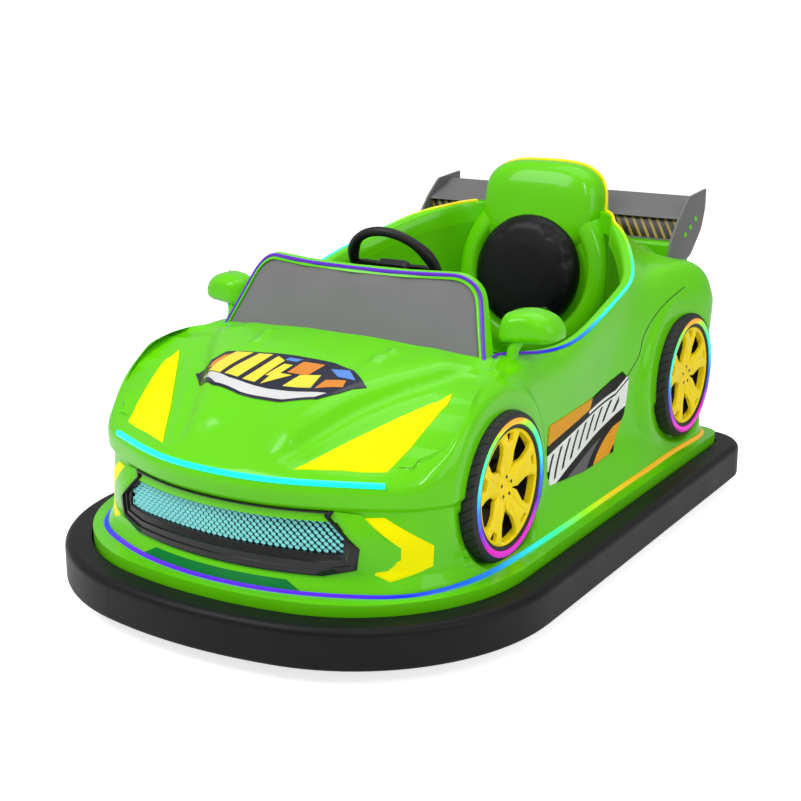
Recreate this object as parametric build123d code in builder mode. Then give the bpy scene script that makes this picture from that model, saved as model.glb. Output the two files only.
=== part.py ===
"""Fairground bumper car with a sports-car body: one open moulded body inside a rubber bumper ring.

Frame: millimetres, +Z up, the nose towards -Y and the driver's left towards +X. The origin is on the
floor, midway along and across the whole car. Stations are distances behind the middle of the bumper
ring, which sits a little ahead of the origin because the rear wing overhangs the ring.
"""

from build123d import *
import os
from math import cos, radians, sin, sqrt, tan

os.makedirs("parts", exist_ok=True)

# ---------------------------------------------------------------- driving dimensions
ring_length = 1950.0
ring_width = 1310.0
ring_bottom = 40.0
ring_top = 140.0
ring_wall = 66.0
ring_nose_radius = 1190.0
ring_corner_radius = 520.0
ring_tail_radius = 3000.0
ring_tail_corner = 130.0
ring_edge_round = 20.0
wing_overhang = 60.0
ring_y = -wing_overhang / 2
seam = 1.5
fit_gap = 0.3

skirt_gap = 5.0
skirt_wall = 8.0
skirt_top = 166.0
skirt_foot = 104.0

floor_thickness = 4.0
frame_tube = 40.0

body_bottom = skirt_top + fit_gap
shell_wall = 9.0

# show wheels, which are fixed to the body: station, half track to the outer face, axle height
show_wheel_radius = 181.0
show_wheel_depth = 52.0
tyre_inner = 142.0
show_wheels = {"front": (-395.0, 524.0, 338.0), "rear": (660.0, 552.0, 374.0)}
arch_gap = 6.0
rim_lip = 12.0
rim_dish = 20.0
rim_spokes = 5
rim_hub = 34.0

# cockpit opening, and the coaming round it
cockpit_half = 436.0
cockpit_nose = -235.0
cockpit_tail = 765.0
cockpit_corner = 110.0
cockpit_tail_radius = 640.0
cockpit_tail_corner = cockpit_half - 56.0
coaming_width = 54.0
coaming_half = cockpit_half + coaming_width
coaming_nose = -290.0
coaming_tail = 778.0
coaming_tail_corner = coaming_half - 50.0
tub_wall = 9.0
sill_width = 40.0

# seat
seat_front = 190.0
seat_height = 330.0
seat_wall = 8.0
cushion_size = (640.0, 410.0, 56.0)
cushion_round = 24.0
pad_radius = 182.0
pad_thickness = 62.0
pad_height = 614.0
back_station = 716.0
seat_lean = 10.0
head_half = 204.0
head_foot = 745.0
head_top = 947.0
head_depth = 84.0

# steering
wheel_centre = (0.0, -58.0, 748.0)
wheel_tilt = 32.0
wheel_radius = 128.0
wheel_grip = 14.0
drive_station = -430.0
drive_radius = 100.0
drive_width = 46.0
rear_road_station = 560.0
rear_road_radius = 62.0
rear_road_width = 40.0
rear_road_half = cockpit_half - 106.0
road_recess = 6.0
road_hub_radius = 18.0


# chassis: 40 mm steel tube, under a steel floor
frame_bottom = 60.0
rail_half = rear_road_half - 100.0
cross_stations = (-640.0, -190.0, 470.0, 650.0)
bridge_gap = 14.0
bridge_plate = 8.0
bridge_length = 110.0
housing_radius = 34.0
housing_rise = 40.0
well_radius = 178.0
stem_radius = 15.0
stem_rise = 26.0
crown_gap = 12.0
fork_plate = 8.0
crown_bottom = 2 * drive_radius + crown_gap
bridge_bottom = crown_bottom + fork_plate + 2 + bridge_gap
housing_top = bridge_bottom + bridge_plate + housing_rise
stem_top = housing_top + stem_rise
drive_axle_radius = 9.0
pin_gap = 0.1
cheek_gap = 6.0
cheek_wall = 6.0
cheek_drop = 18.0
road_axle_radius = 7.0
battery_station = 400.0
battery_size = (520.0, 180.0, 150.0)

# body
body_half = 556.0
body_nose = -868.0
body_tail = 868.0
body_nose_radius = 800.0
body_corner = 330.0
body_tail_radius = 1400.0
body_tail_corner = 200.0
waist_in = 66.0
shoulder_in = 44.0
# station, height on the centre line, height at the edge
hood_sections = ((-880.0, 404.0, 392.0), (-560.0, 560.0, 486.0), (-180.0, 650.0, 540.0))
nose_rake = 34.0
nose_lip = 420.0
front_seam = -285.0
fender_root = 330.0
fender_round = 46.0
arch_radius = {"front": 240.0, "rear": 250.0}
side_seam = -150.0
rear_seam = 330.0

# side profiles as (station, height) ends, or (mid station, mid height, end station, end height) arcs
belt_line = [(-300.0, 100.0), (-300.0, 555.0), (40.0, 492.0, 330.0, 545.0), (520.0, 648.0, 700.0, 640.0),
             (830.0, 600.0, 872.0, 440.0), (872.0, 100.0)]
rim_line = [(-300.0, 100.0), (-300.0, 606.0), (-90.0, 582.0, 140.0, 622.0), (430.0, 706.0, 640.0, 775.0),
            (700.0, 796.0, 770.0, 800.0), (800.0, 800.0), (800.0, 100.0)]

# windscreen: half width and height at the foot and at the top, and its bow
screen_foot = (392.0, 560.0)
screen_head = (281.0, 781.0)
screen_station = -330.0
screen_bow = 46.0
screen_lean = 23.0
screen_depth = 24.0
screen_glass = 8.0
screen_border = 13.0
screen_corner = 46.0
screen_base = 636.0

# dash
dash_wall = 9.0
pod_half = 120.0
pod_top = 700.0
pod_stations = (-272.0, -215.0)
column_radius = 25.0
shaft_radius = 11.0
column_top = 46.0

# grille: half widths and heights of its six-sided outline
grille_outline = ((275.0, 343.0), (345.0, 275.0), (319.0, 203.0))
grille_border = 34.0
grille_depth = 60.0
mesh_thickness = 5.0

# lamps, as (half width, station) corners in plan and as (half width, height) corners from the front
headlight_corners = ((185.0, -782.0), (374.0, -695.0), (410.0, -479.0))
arrow_corners = ((352.0, 348.0), (410.0, 348.0), (478.0, 284.0), (478.0, 250.0), (405.0, 196.0), (375.0, 212.0),
                 (432.0, 250.0), (432.0, 280.0))
tail_light_corners = ((250.0, 470.0), (400.0, 470.0), (400.0, 520.0), (285.0, 520.0))

skirt_lap = 60.0
hub_depth = 30.0
hub_radius = 34.0
spoke_angles = (0.0, 90.0, 180.0)
spoke_width = 30.0
spoke_thickness = 9.0
pedal_x = -130.0
pedal_width = 80.0
pedal_heel = -120.0
pedal_toe = (-205.0, 240.0)
# corners of one spoke of a show wheel's rim, pointing along x
spoke_corners = ((20.0, -19.0), (70.0, -24.0), (131.0, -52.0), (131.0, 52.0), (70.0, 24.0), (20.0, 19.0))

# light strips
strip_width = 9.0
strip_height = 12.0
nose_strip = (380.0, 402.0)

# mirrors
mirror_centre = (coaming_half - 26.0, -190.0, 672.0)
mirror_size = (156.0, 66.0, 84.0)
mirror_round = 28.0
mirror_foot = (coaming_half - 53.0, -232.0, 600.0)
mirror_stalk = 13.0

# rear wing
plate_x = 426.0
plate_thickness = 8.0
plate_outline = [(ring_length / 2 + wing_overhang, 860.0), (895.0, 851.0), (828.0, 802.0), (765.0, 736.0),
                 (750.0, 678.0), (838.0, 662.0), (920.0, 670.0), (1005.0, 743.0), (1029.0, 803.0)]
foil_ends = ((839.0, 794.0), (971.0, 843.0))
foil_thickness = 14.0
beam_section = (830.0, 935.0, 662.0, 722.0)
pedestal_half = 150.0


def station(distance):
    """Y of a place that is given as its distance behind the middle of the bumper ring."""
    return ring_y + distance


# ---------------------------------------------------------------- outlines
def plan_edges(half, nose, tail, nose_radius, corner, tail_radius, tail_corner):
    """A closed plan outline of arcs and side lines: nose and tail are stations on the centre line."""
    nose_y = station(nose)
    tail_y = station(tail)
    front_y = nose_y + nose_radius - sqrt((nose_radius - corner) ** 2 - (half - corner) ** 2)
    rear_y = tail_y - tail_radius + sqrt((tail_radius - tail_corner) ** 2 - (half - tail_corner) ** 2)

    def tangent_point(centre_y, big, small, small_y):
        """Where the small corner arc meets the big end arc."""
        share = big / (big - small)
        return (half - small) * share, centre_y + (small_y - centre_y) * share

    front_x, front_join = tangent_point(nose_y + nose_radius, nose_radius, corner, front_y)
    rear_x, rear_join = tangent_point(tail_y - tail_radius, tail_radius, tail_corner, rear_y)
    diagonal_f = Vector(front_x - (half - corner), front_join - front_y).normalized() + Vector(1, 0)
    diagonal_r = Vector(rear_x - (half - tail_corner), rear_join - rear_y).normalized() + Vector(1, 0)
    mid_f = Vector(half - corner, front_y) + diagonal_f.normalized() * corner
    mid_r = Vector(half - tail_corner, rear_y) + diagonal_r.normalized() * tail_corner
    for side in (1, -1):
        ThreePointArc((side * front_x, front_join), (side * mid_f.X, mid_f.Y), (side * half, front_y))
        Line((side * half, front_y), (side * half, rear_y))
        ThreePointArc((side * half, rear_y), (side * mid_r.X, mid_r.Y), (side * rear_x, rear_join))
    ThreePointArc((-front_x, front_join), (0, nose_y), (front_x, front_join))
    ThreePointArc((-rear_x, rear_join), (0, tail_y), (rear_x, rear_join))


def ring_plan(inset):
    """The bumper ring's outline, moved inwards by inset all round."""
    plan_edges(
        ring_width / 2 - inset,
        -ring_length / 2 + inset,
        ring_length / 2 - inset,
        ring_nose_radius - inset,
        ring_corner_radius - inset,
        ring_tail_radius - inset,
        max(ring_tail_corner - inset, 15.0),
    )


def ring_face(inset, height):
    """A filled sketch of that outline at a height."""
    with BuildSketch(Plane.XY.offset(height)) as face:
        with BuildLine():
            ring_plan(inset)
        make_face()
    return face.sketch


def save(piece, name):
    """Labels a finished piece and writes it as its own STEP file."""
    piece.label = name
    export_step(piece, f"parts/{name}.step")


def plan_face(height, **outline):
    """A filled plan outline at a height."""
    with BuildSketch(Plane.XY.offset(height)) as face:
        with BuildLine():
            plan_edges(**outline)
        make_face()
    return face.sketch


def block(x0, x1, y0, y1, z0, z1):
    """A plain block between two corners, for tubes, plates and cuts."""
    middle = ((x0 + x1) / 2, (y0 + y1) / 2, (z0 + z1) / 2)
    return Location(middle) * Box(x1 - x0, y1 - y0, z1 - z0, mode=Mode.PRIVATE)


def across(radius, x0, x1, y, z):
    """A cylinder that lies along X between two places."""
    return Location(((x0 + x1) / 2, y, z), (0, 90, 0)) * Cylinder(radius, abs(x1 - x0), mode=Mode.PRIVATE)


def upright(radius, y, z0, z1, x=0.0):
    """A cylinder that stands between two heights."""
    return Location((x, y, (z0 + z1) / 2)) * Cylinder(radius, z1 - z0, mode=Mode.PRIVATE)


# ---------------------------------------------------------------- bumper ring
with BuildPart() as bumper_ring:
    add(ring_face(0, ring_bottom))
    extrude(amount=ring_top - ring_bottom)
    fillet(bumper_ring.faces().sort_by(Axis.Z)[-1].edges(), ring_edge_round)
    fillet(bumper_ring.faces().sort_by(Axis.Z)[0].edges(), ring_edge_round / 2)
    add(ring_face(ring_wall, ring_bottom))
    extrude(amount=ring_top - ring_bottom, mode=Mode.SUBTRACT)
save(bumper_ring.part, "bumper_ring")

# ---------------------------------------------------------------- chassis
frame_top = frame_bottom + frame_tube
drive_y = station(drive_station)
road_y = station(rear_road_station)
tail_y = station(ring_length / 2)
nose_y = station(-ring_length / 2)
cheek_out = rear_road_width / 2 + cheek_gap + cheek_wall
road_cheeks = [side * rear_road_half + edge for side in (1, -1) for edge in (-cheek_out, cheek_out - cheek_wall)]

half_tube = frame_tube / 2


def inside_rim():
    """The space inside the chassis rim, as high as its tube."""
    with BuildPart() as made:
        add(ring_face(ring_wall + fit_gap + frame_tube, frame_bottom))
        extrude(amount=frame_tube)
    return made.part


with BuildPart() as chassis_rim:
    add(ring_face(ring_wall + fit_gap, frame_bottom))
    extrude(amount=frame_tube)
    add(inside_rim(), mode=Mode.SUBTRACT)
save(chassis_rim.part, "chassis_rim")

with BuildPart() as chassis_rails:
    for side in (1, -1):
        add(block(side * rail_half - half_tube, side * rail_half + half_tube, nose_y, tail_y, frame_bottom, frame_top))
    add(inside_rim(), mode=Mode.INTERSECT)
save(chassis_rails.part, "chassis_rails")

with BuildPart() as chassis_cross_tubes:
    for cross in cross_stations:
        y = station(cross)
        add(block(-ring_width / 2, ring_width / 2, y - half_tube, y + half_tube, frame_bottom, frame_top))
    add(inside_rim(), mode=Mode.INTERSECT)
    add(chassis_rails.part, mode=Mode.SUBTRACT)
save(chassis_cross_tubes.part, "chassis_cross_tubes")

# posts, plate and bearing housing that carry the drive unit
with BuildPart() as drive_bridge:
    bridge_y = (drive_y - bridge_length / 2, drive_y + bridge_length / 2)
    for side in (1, -1):
        add(block(side * rail_half - half_tube, side * rail_half + half_tube, *bridge_y, frame_top, bridge_bottom))
    add(block(-rail_half - half_tube, rail_half + half_tube, *bridge_y, bridge_bottom, bridge_bottom + bridge_plate))
    add(upright(housing_radius, drive_y, bridge_bottom + bridge_plate, housing_top))
    add(upright(stem_radius + pin_gap, drive_y, bridge_bottom - 1, housing_top + 1), mode=Mode.SUBTRACT)
save(drive_bridge.part, "drive_bridge")

# cheek plates that carry the rear road wheels' axles
with BuildPart() as axle_brackets:
    for x in road_cheeks:
        add(block(x, x + cheek_wall, station(cross_stations[-2]) + half_tube, station(cross_stations[-1]) - half_tube,
                  rear_road_radius - cheek_drop, frame_top))
    for side in (1, -1):
        add(across(road_axle_radius, side * rear_road_half - cheek_out - 1, side * rear_road_half + cheek_out + 1,
                   road_y, rear_road_radius), mode=Mode.SUBTRACT)
save(axle_brackets.part, "axle_brackets")

with BuildPart() as floor_pan:
    add(ring_face(ring_wall + skirt_gap + skirt_wall + 2, frame_top))
    extrude(amount=floor_thickness)
    add(upright(well_radius, drive_y, frame_top - 1, frame_top + 10), mode=Mode.SUBTRACT)
    for side in (1, -1):
        add(block(side * rail_half - frame_tube / 2 - fit_gap, side * rail_half + frame_tube / 2 + fit_gap,
                  drive_y - bridge_length / 2 - fit_gap, drive_y + bridge_length / 2 + fit_gap,
                  frame_top - 1, frame_top + 10), mode=Mode.SUBTRACT)
        add(block(side * rear_road_half - cheek_out, side * rear_road_half + cheek_out,
                  road_y - rear_road_radius - 10, road_y + rear_road_radius + 10,
                  frame_top - 1, frame_top + 10), mode=Mode.SUBTRACT)
save(floor_pan.part, "floor_pan")

with BuildPart() as road_axles:
    for side in (1, -1):
        add(across(road_axle_radius - fit_gap / 2, side * rear_road_half - cheek_out - 4,
                   side * rear_road_half + cheek_out + 4, road_y, rear_road_radius))
save(road_axles.part, "rear_axles")

battery_y = station(battery_station)
with BuildPart() as battery:
    add(block(-battery_size[0] / 2, battery_size[0] / 2, battery_y - battery_size[1] / 2,
              battery_y + battery_size[1] / 2, frame_top + floor_thickness,
              frame_top + floor_thickness + battery_size[2]))
    fillet(battery.edges().filter_by(Axis.Z), 8)
save(battery.part, "battery_pack")

# ---------------------------------------------------------------- road wheels
for name, side in (("left", 1), ("right", -1)):
    centre = (side * rear_road_half, road_y, rear_road_radius)
    with BuildPart() as road_wheel:
        add(across(rear_road_radius, centre[0] - rear_road_width / 2, centre[0] + rear_road_width / 2,
                   centre[1], centre[2]))
        fillet(road_wheel.edges().filter_by(GeomType.CIRCLE), 6)
        add(across(road_axle_radius - fit_gap / 2 + pin_gap, centre[0] - 100, centre[0] + 100,
                   centre[1], centre[2]), mode=Mode.SUBTRACT)
        for face in (1, -1):
            with Locations(Location((centre[0] + face * rear_road_width / 2, centre[1], centre[2]), (0, 90, 0))):
                Cylinder(rear_road_radius * 0.66, 2 * road_recess, mode=Mode.SUBTRACT)
                Cylinder(road_hub_radius, 2 * (cheek_gap - fit_gap))
        add(across(road_axle_radius - fit_gap / 2 + pin_gap, centre[0] - 100, centre[0] + 100,
                   centre[1], centre[2]), mode=Mode.SUBTRACT)
    save(road_wheel.part, f"rear_road_wheel_{name}")

# ---------------------------------------------------------------- steered drive unit
leg_inner = drive_width / 2 + 10
with BuildPart() as drive_fork:
    for side in (1, -1):
        low, high = sorted((side * leg_inner, side * (leg_inner + fork_plate)))
        with BuildSketch(Plane.YZ.offset(low)) as leg:
            with BuildLine():
                Line((drive_y - 45, crown_bottom), (drive_y + 45, crown_bottom))
                Line((drive_y + 45, crown_bottom), (drive_y + 22, drive_radius))
                ThreePointArc((drive_y + 22, drive_radius), (drive_y, drive_radius - 22),
                              (drive_y - 22, drive_radius))
                Line((drive_y - 22, drive_radius), (drive_y - 45, crown_bottom))
            make_face()
        extrude(amount=fork_plate)
    add(block(-leg_inner - fork_plate, leg_inner + fork_plate, drive_y - 45, drive_y + 45,
              crown_bottom, crown_bottom + fork_plate + 2))
    add(upright(stem_radius, drive_y, crown_bottom, stem_top))
    add(across(drive_axle_radius, -leg_inner - fork_plate - 6, leg_inner + fork_plate + 6, drive_y, drive_radius))
save(drive_fork.part, "drive_fork")

with BuildPart() as drive_motor:
    add(across(46, leg_inner + fork_plate, leg_inner + fork_plate + 84, drive_y, drive_radius + 26))
    fillet(drive_motor.edges().sort_by(Axis.X)[-1], 8)
    add(across(drive_axle_radius + 2, leg_inner, leg_inner + fork_plate + 12, drive_y, drive_radius),
        mode=Mode.SUBTRACT)
save(drive_motor.part, "drive_motor")

with BuildPart() as drive_wheel:
    add(across(drive_radius, -drive_width / 2, drive_width / 2, drive_y, drive_radius))
    fillet(drive_wheel.edges().filter_by(GeomType.CIRCLE), 8)
    for face in (1, -1):
        with Locations(Location((face * drive_width / 2, drive_y, drive_radius), (0, 90, 0))):
            Cylinder(drive_radius * 0.62, 14, mode=Mode.SUBTRACT)
            Cylinder(24, 16)
    add(across(drive_axle_radius + pin_gap, -60, 60, drive_y, drive_radius), mode=Mode.SUBTRACT)
save(drive_wheel.part, "drive_wheel")

# ---------------------------------------------------------------- body shells
def body_outline(height, inset):
    """The body's plan outline at a height, moved inwards by inset."""
    return plan_face(height, half=body_half - inset, nose=body_nose + inset, tail=body_tail - inset,
                     nose_radius=body_nose_radius - inset, corner=body_corner - inset,
                     tail_radius=body_tail_radius - inset, tail_corner=body_tail_corner - inset)


def body_plan(inset):
    """The body's plan as a block whose nose, corners and tail lean back as it rises."""
    with BuildPart() as made:
        for height in (body_bottom - 1, 2 * nose_lip - body_bottom):
            rake = nose_rake * (height - body_bottom) / (nose_lip - body_bottom)
            add(body_outline(height, inset + rake))
        loft(ruled=True)
    return made.part


def body_section(inset):
    """The body's cross-section, with its flared sill, waist and shoulder, drawn out along the car."""
    half = body_half - inset
    with BuildPart() as made:
        with BuildSketch(Plane.XZ.offset(-1200)):
            for side in (1, -1):
                with BuildLine():
                    Line((0, body_bottom), (side * half, body_bottom))
                    ThreePointArc((side * half, body_bottom), (side * (half - 44), 208),
                                  (side * (half - waist_in), 270))
                    Line((side * (half - waist_in), 270), (side * (half - waist_in), 400))
                    ThreePointArc((side * (half - waist_in), 400), (side * (half - waist_in + 14), 455),
                                  (side * (half - shoulder_in), 505))
                    ThreePointArc((side * (half - shoulder_in), 505), (side * (half - shoulder_in - 6), 590),
                                  (side * (half - shoulder_in - 60), 660 - inset))
                    Line((side * (half - shoulder_in - 60), 660 - inset), (0, 700 - inset))
                    Line((0, 700 - inset), (0, body_bottom))
                make_face()
        extrude(amount=2400)
    return made.part


def hood_block(inset):
    """Everything under the bonnet: three crowned sections, at the lip, halfway and under the screen."""
    with BuildPart() as made:
        for place, middle, edge in hood_sections:
            with BuildSketch(Plane.XZ.offset(-station(place))):
                with BuildLine():
                    ThreePointArc((-700, edge - inset), (0, middle - inset), (700, edge - inset))
                    Line((700, edge - inset), (700, 0))
                    Line((700, 0), (-700, 0))
                    Line((-700, 0), (-700, edge - inset))
                make_face()
        loft()
    return made.part


def fender(name, inset):
    """The round bulge over a show wheel, on both sides."""
    place, outer, height = show_wheels[name]
    bulge = []
    for side in (1, -1):
        with BuildPart() as made:
            add(across(arch_radius[name] - inset, side * fender_root, side * (outer + 4 - inset),
                       station(place), height))
            outer_edge = made.edges().filter_by(GeomType.CIRCLE).sort_by(Axis.X)[-1 if side > 0 else 0]
            fillet(outer_edge, fender_round - inset / 2)
        bulge.append(made.part)
    return bulge


def wheel_well(name, outward, inward):
    """The cut behind a show wheel, from its back face outwards, on both sides."""
    place, outer, height = show_wheels[name]
    cuts = []
    for side in (1, -1):
        cuts.append(across(show_wheel_radius + arch_gap + outward,
                           side * (outer - show_wheel_depth - fit_gap - inward),
                           side * (outer + 60), station(place), height))
    return cuts


def keep(part, y0, y1, z0=body_bottom, z1=900, x0=-800, x1=800):
    """The piece of a part between two stations and two heights."""
    return part & block(x0, x1, station(y0), station(y1), z0, z1)


def profile_block(line, drop=0.0, half=700.0):
    """A side profile drawn out across the car. Each entry is an end, or an arc's middle and end."""
    with BuildPart() as made:
        with BuildSketch(Plane.YZ.offset(-half)):
            with BuildLine():
                here = line[0]
                for entry in line[1:]:
                    end = entry[-2:]
                    if len(entry) == 4:
                        ThreePointArc((station(here[0]), here[1] - drop), (station(entry[0]), entry[1] - drop),
                                      (station(end[0]), end[1] - drop))
                    else:
                        Line((station(here[0]), here[1] - drop), (station(end[0]), end[1] - drop))
                    here = end
                Line((station(here[0]), here[1] - drop), (station(line[0][0]), line[0][1] - drop))
            make_face()
        extrude(amount=2 * half)
    return made.part


def plan_block(bottom, top, **outline):
    """A plan outline drawn up between two heights."""
    with BuildPart() as made:
        add(plan_face(bottom, **outline))
        extrude(amount=top - bottom)
    return made.part


def cockpit_block(outward, bottom, top, nose=cockpit_nose):
    """The cockpit opening, moved outwards, between two heights."""
    return plan_block(bottom, top, half=cockpit_half + outward, nose=nose - outward, tail=cockpit_tail + outward,
                      nose_radius=3000 + outward, corner=cockpit_corner + outward,
                      tail_radius=cockpit_tail_radius + outward, tail_corner=cockpit_tail_corner + outward)


def coaming_block(outward, bottom, top):
    """The outside of the coaming round the cockpit, moved outwards, between two heights."""
    return plan_block(bottom, top, half=coaming_half + outward, nose=coaming_nose - outward,
                      tail=coaming_tail + outward, nose_radius=3000 + outward, corner=cockpit_corner + outward,
                      tail_radius=cockpit_tail_radius + outward, tail_corner=coaming_tail_corner + outward)


def body_solid(inset):
    """The whole outer form: bonnet, flared lower body, coaming and the bulges over the wheels."""
    flanks = body_plan(inset) & body_section(inset)
    bonnet = keep(flanks & hood_block(inset), -900, front_seam)
    lower = flanks & profile_block(belt_line, drop=inset)
    coaming = coaming_block(-inset, 300, 900) & profile_block(rim_line, drop=inset)
    solid = bonnet + lower + coaming
    for name in show_wheels:
        for bulge in fender(name, inset):
            solid = solid + bulge
    return solid


wells = wheel_well("front", 0, 0) + wheel_well("rear", 0, 0)
body_outer = body_solid(0)
body_inner = body_solid(shell_wall)
floor_top = frame_top + floor_thickness
cockpit_space = cockpit_block(0, floor_top - 5, 900, nose=front_seam - seam)

# headrest opening in the tail of the coaming
head_opening = block(-head_half - fit_gap, head_half + fit_gap, station(650), station(900), head_foot, 900)


def prism_down(corners, side, grow=0.0):
    """An upright prism over plan corners (half width, station), on one side of the car."""
    with BuildPart() as made:
        with BuildSketch(Plane.XY.offset(300)):
            with BuildLine():
                Polyline(*[(side * x, station(d)) for x, d in corners], close=True)
            make_face()
            if grow:
                offset(amount=grow)
        extrude(amount=400)
    return made.part


def prism_back(corners, side, y0, y1, grow=0.0):
    """A prism along the car over corners (half width, height) seen from the front, on one side."""
    with BuildPart() as made:
        with BuildSketch(Plane.XZ.offset(-station(y1))):
            with BuildLine():
                Polyline(*[(side * x, z) for x, z in corners], close=True)
            make_face()
            if grow:
                offset(amount=grow)
        extrude(amount=y1 - y0)
    return made.part


grille_corners = [(x, z) for x, z in grille_outline] + [(-x, z) for x, z in reversed(grille_outline)]


# ---------------------------------------------------------------- front shell, with its lamps let in
with BuildPart() as front_shell:
    add(keep(body_outer, -900, side_seam - seam))
    add(keep(body_inner, -900, front_seam - 12, z0=body_bottom - 5), mode=Mode.SUBTRACT)
    for back in wheel_well("front", shell_wall, shell_wall):
        add(keep(body_outer, -900, side_seam - seam) & back)
    for well in wells:
        add(well, mode=Mode.SUBTRACT)
    add(cockpit_space, mode=Mode.SUBTRACT)
    add(prism_back(grille_corners, 1, -900, -640, grow=fit_gap), mode=Mode.SUBTRACT)

headlights = Part()
arrow_lights = Part()
front_skin = front_shell.part
for side in (1, -1):
    headlights += front_skin & prism_down(headlight_corners, side)
    arrow_lights += front_skin & prism_back(arrow_corners, side, -900, -645)
    front_skin -= prism_down(headlight_corners, side, grow=fit_gap)
    front_skin -= prism_back(arrow_corners, side, -900, -645, grow=fit_gap)
save(front_skin, "front_shell")
save(headlights, "headlights")
save(arrow_lights, "arrow_lights")

# ---------------------------------------------------------------- grille
with BuildPart() as grille_surround:
    add(body_plan(0))
    add(body_plan(grille_depth), mode=Mode.SUBTRACT)
    add(prism_back(grille_corners, 1, -900, -640), mode=Mode.INTERSECT)
    add(prism_back(grille_corners, 1, -900, -640, grow=-grille_border), mode=Mode.SUBTRACT)
save(grille_surround.part, "grille_surround")

with BuildPart() as grille_mesh:
    add(body_plan(grille_depth - 2 * shell_wall))
    add(body_plan(grille_depth - 2 * shell_wall + mesh_thickness), mode=Mode.SUBTRACT)
    add(prism_back(grille_corners, 1, -900, -640, grow=-grille_border - fit_gap), mode=Mode.INTERSECT)
save(grille_mesh.part, "grille_mesh")

# ---------------------------------------------------------------- side panels, as thick as the whole wall
for name, side in (("left", 1), ("right", -1)):
    low, high = sorted((0, side * 800))
    with BuildPart() as side_panel:
        add(keep(body_outer, side_seam, rear_seam - seam, x0=low, x1=high))
        # inner sill, down to the floor
        sill_low, sill_high = sorted((side * cockpit_half, side * (cockpit_half + sill_width)))
        add(block(sill_low, sill_high, station(side_seam), station(rear_seam - seam), floor_top, 300))
        add(cockpit_space, mode=Mode.SUBTRACT)
        for well in wells:
            add(well, mode=Mode.SUBTRACT)
    save(side_panel.part, f"side_panel_{name}")

# ---------------------------------------------------------------- rear shell
with BuildPart() as rear_shell:
    add(keep(body_outer, rear_seam, 900))
    add(keep(body_inner, rear_seam - 50, 900, z0=body_bottom - 5), mode=Mode.SUBTRACT)
    for back in wheel_well("rear", shell_wall, shell_wall):
        add(keep(body_outer, rear_seam, 900) & back)
    add(keep(cockpit_block(tub_wall, floor_top, 780) & (body_outer + cockpit_block(tub_wall, floor_top, 300)),
             rear_seam, 900, z0=floor_top))
    add(cockpit_space, mode=Mode.SUBTRACT)
    for well in wells:
        add(well, mode=Mode.SUBTRACT)
    add(head_opening, mode=Mode.SUBTRACT)
tail_lights = Part()
rear_skin = rear_shell.part
for side in (1, -1):
    tail_lights += rear_skin & prism_back(tail_light_corners, side, 820, 900)
    rear_skin -= prism_back(tail_light_corners, side, 820, 900, grow=fit_gap)
save(rear_skin, "rear_shell")
save(tail_lights, "tail_lights")

# ---------------------------------------------------------------- lower skirt
with BuildPart() as base_skirt:
    add(ring_face(ring_wall + skirt_gap, skirt_foot))
    extrude(amount=skirt_top - skirt_foot)
    add(ring_face(ring_wall + skirt_gap + skirt_wall, skirt_foot))
    extrude(amount=skirt_top - skirt_foot - skirt_wall, mode=Mode.SUBTRACT)
    add(body_outline(skirt_foot, skirt_lap))
    extrude(amount=skirt_top - skirt_foot + 1, mode=Mode.SUBTRACT)
    for well in wells:
        add(well, mode=Mode.SUBTRACT)
save(base_skirt.part, "base_skirt")

# ---------------------------------------------------------------- steering line
# the column's axis, from the steering wheel's centre down towards the nose
wheel_at = Vector(wheel_centre[0], station(wheel_centre[1]), wheel_centre[2])
column_way = Vector(0, -cos(radians(wheel_tilt)), -sin(radians(wheel_tilt)))
wheel_plane = Plane(origin=wheel_at, x_dir=(1, 0, 0), z_dir=-column_way)


def along_column(radius, near, far):
    """A cylinder on the column's axis, between two distances below the steering wheel's centre."""
    with BuildPart() as made:
        with BuildSketch(wheel_plane.offset(-far)):
            Circle(radius)
        extrude(amount=far - near)
    return made.part


def down_column(place):
    """How far below the wheel's centre the column's axis passes a station."""
    return (wheel_centre[1] - place) / cos(radians(wheel_tilt))


# ---------------------------------------------------------------- dash, with its pod round the column
with BuildPart() as dash_panel:
    add(keep(hood_block(0) & cockpit_block(-fit_gap, floor_top, 900, nose=front_seam - seam),
             front_seam, cockpit_nose, z0=floor_top))
    add(block(-cockpit_half + dash_wall, cockpit_half - dash_wall, station(front_seam) - 1,
              station(cockpit_nose) - dash_wall, floor_top - 1, screen_foot[1] - 20), mode=Mode.SUBTRACT)
    with BuildSketch(Plane.XZ.offset(-station(pod_stations[1]))):
        with Locations((0, (pod_top + screen_foot[1]) / 2)):
            RectangleRounded(2 * pod_half, pod_top - screen_foot[1], 36)
    extrude(amount=pod_stations[1] - pod_stations[0])
    add(along_column(column_radius + fit_gap, 0, down_column(front_seam)), mode=Mode.SUBTRACT)
save(dash_panel.part, "dash_panel")

column_end = down_column(pod_stations[0]) - 6
with BuildPart() as steering_column:
    add(along_column(column_radius, column_top, column_end))
    add(along_column(column_radius + 12, down_column(pod_stations[1]) - 34, down_column(pod_stations[1]) - 26))
    add(along_column(shaft_radius + pin_gap, 0, column_end + 10), mode=Mode.SUBTRACT)
save(steering_column.part, "steering_column")

with BuildPart() as steering_shaft:
    add(along_column(shaft_radius, hub_depth, column_end))
save(steering_shaft.part, "steering_shaft")

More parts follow.
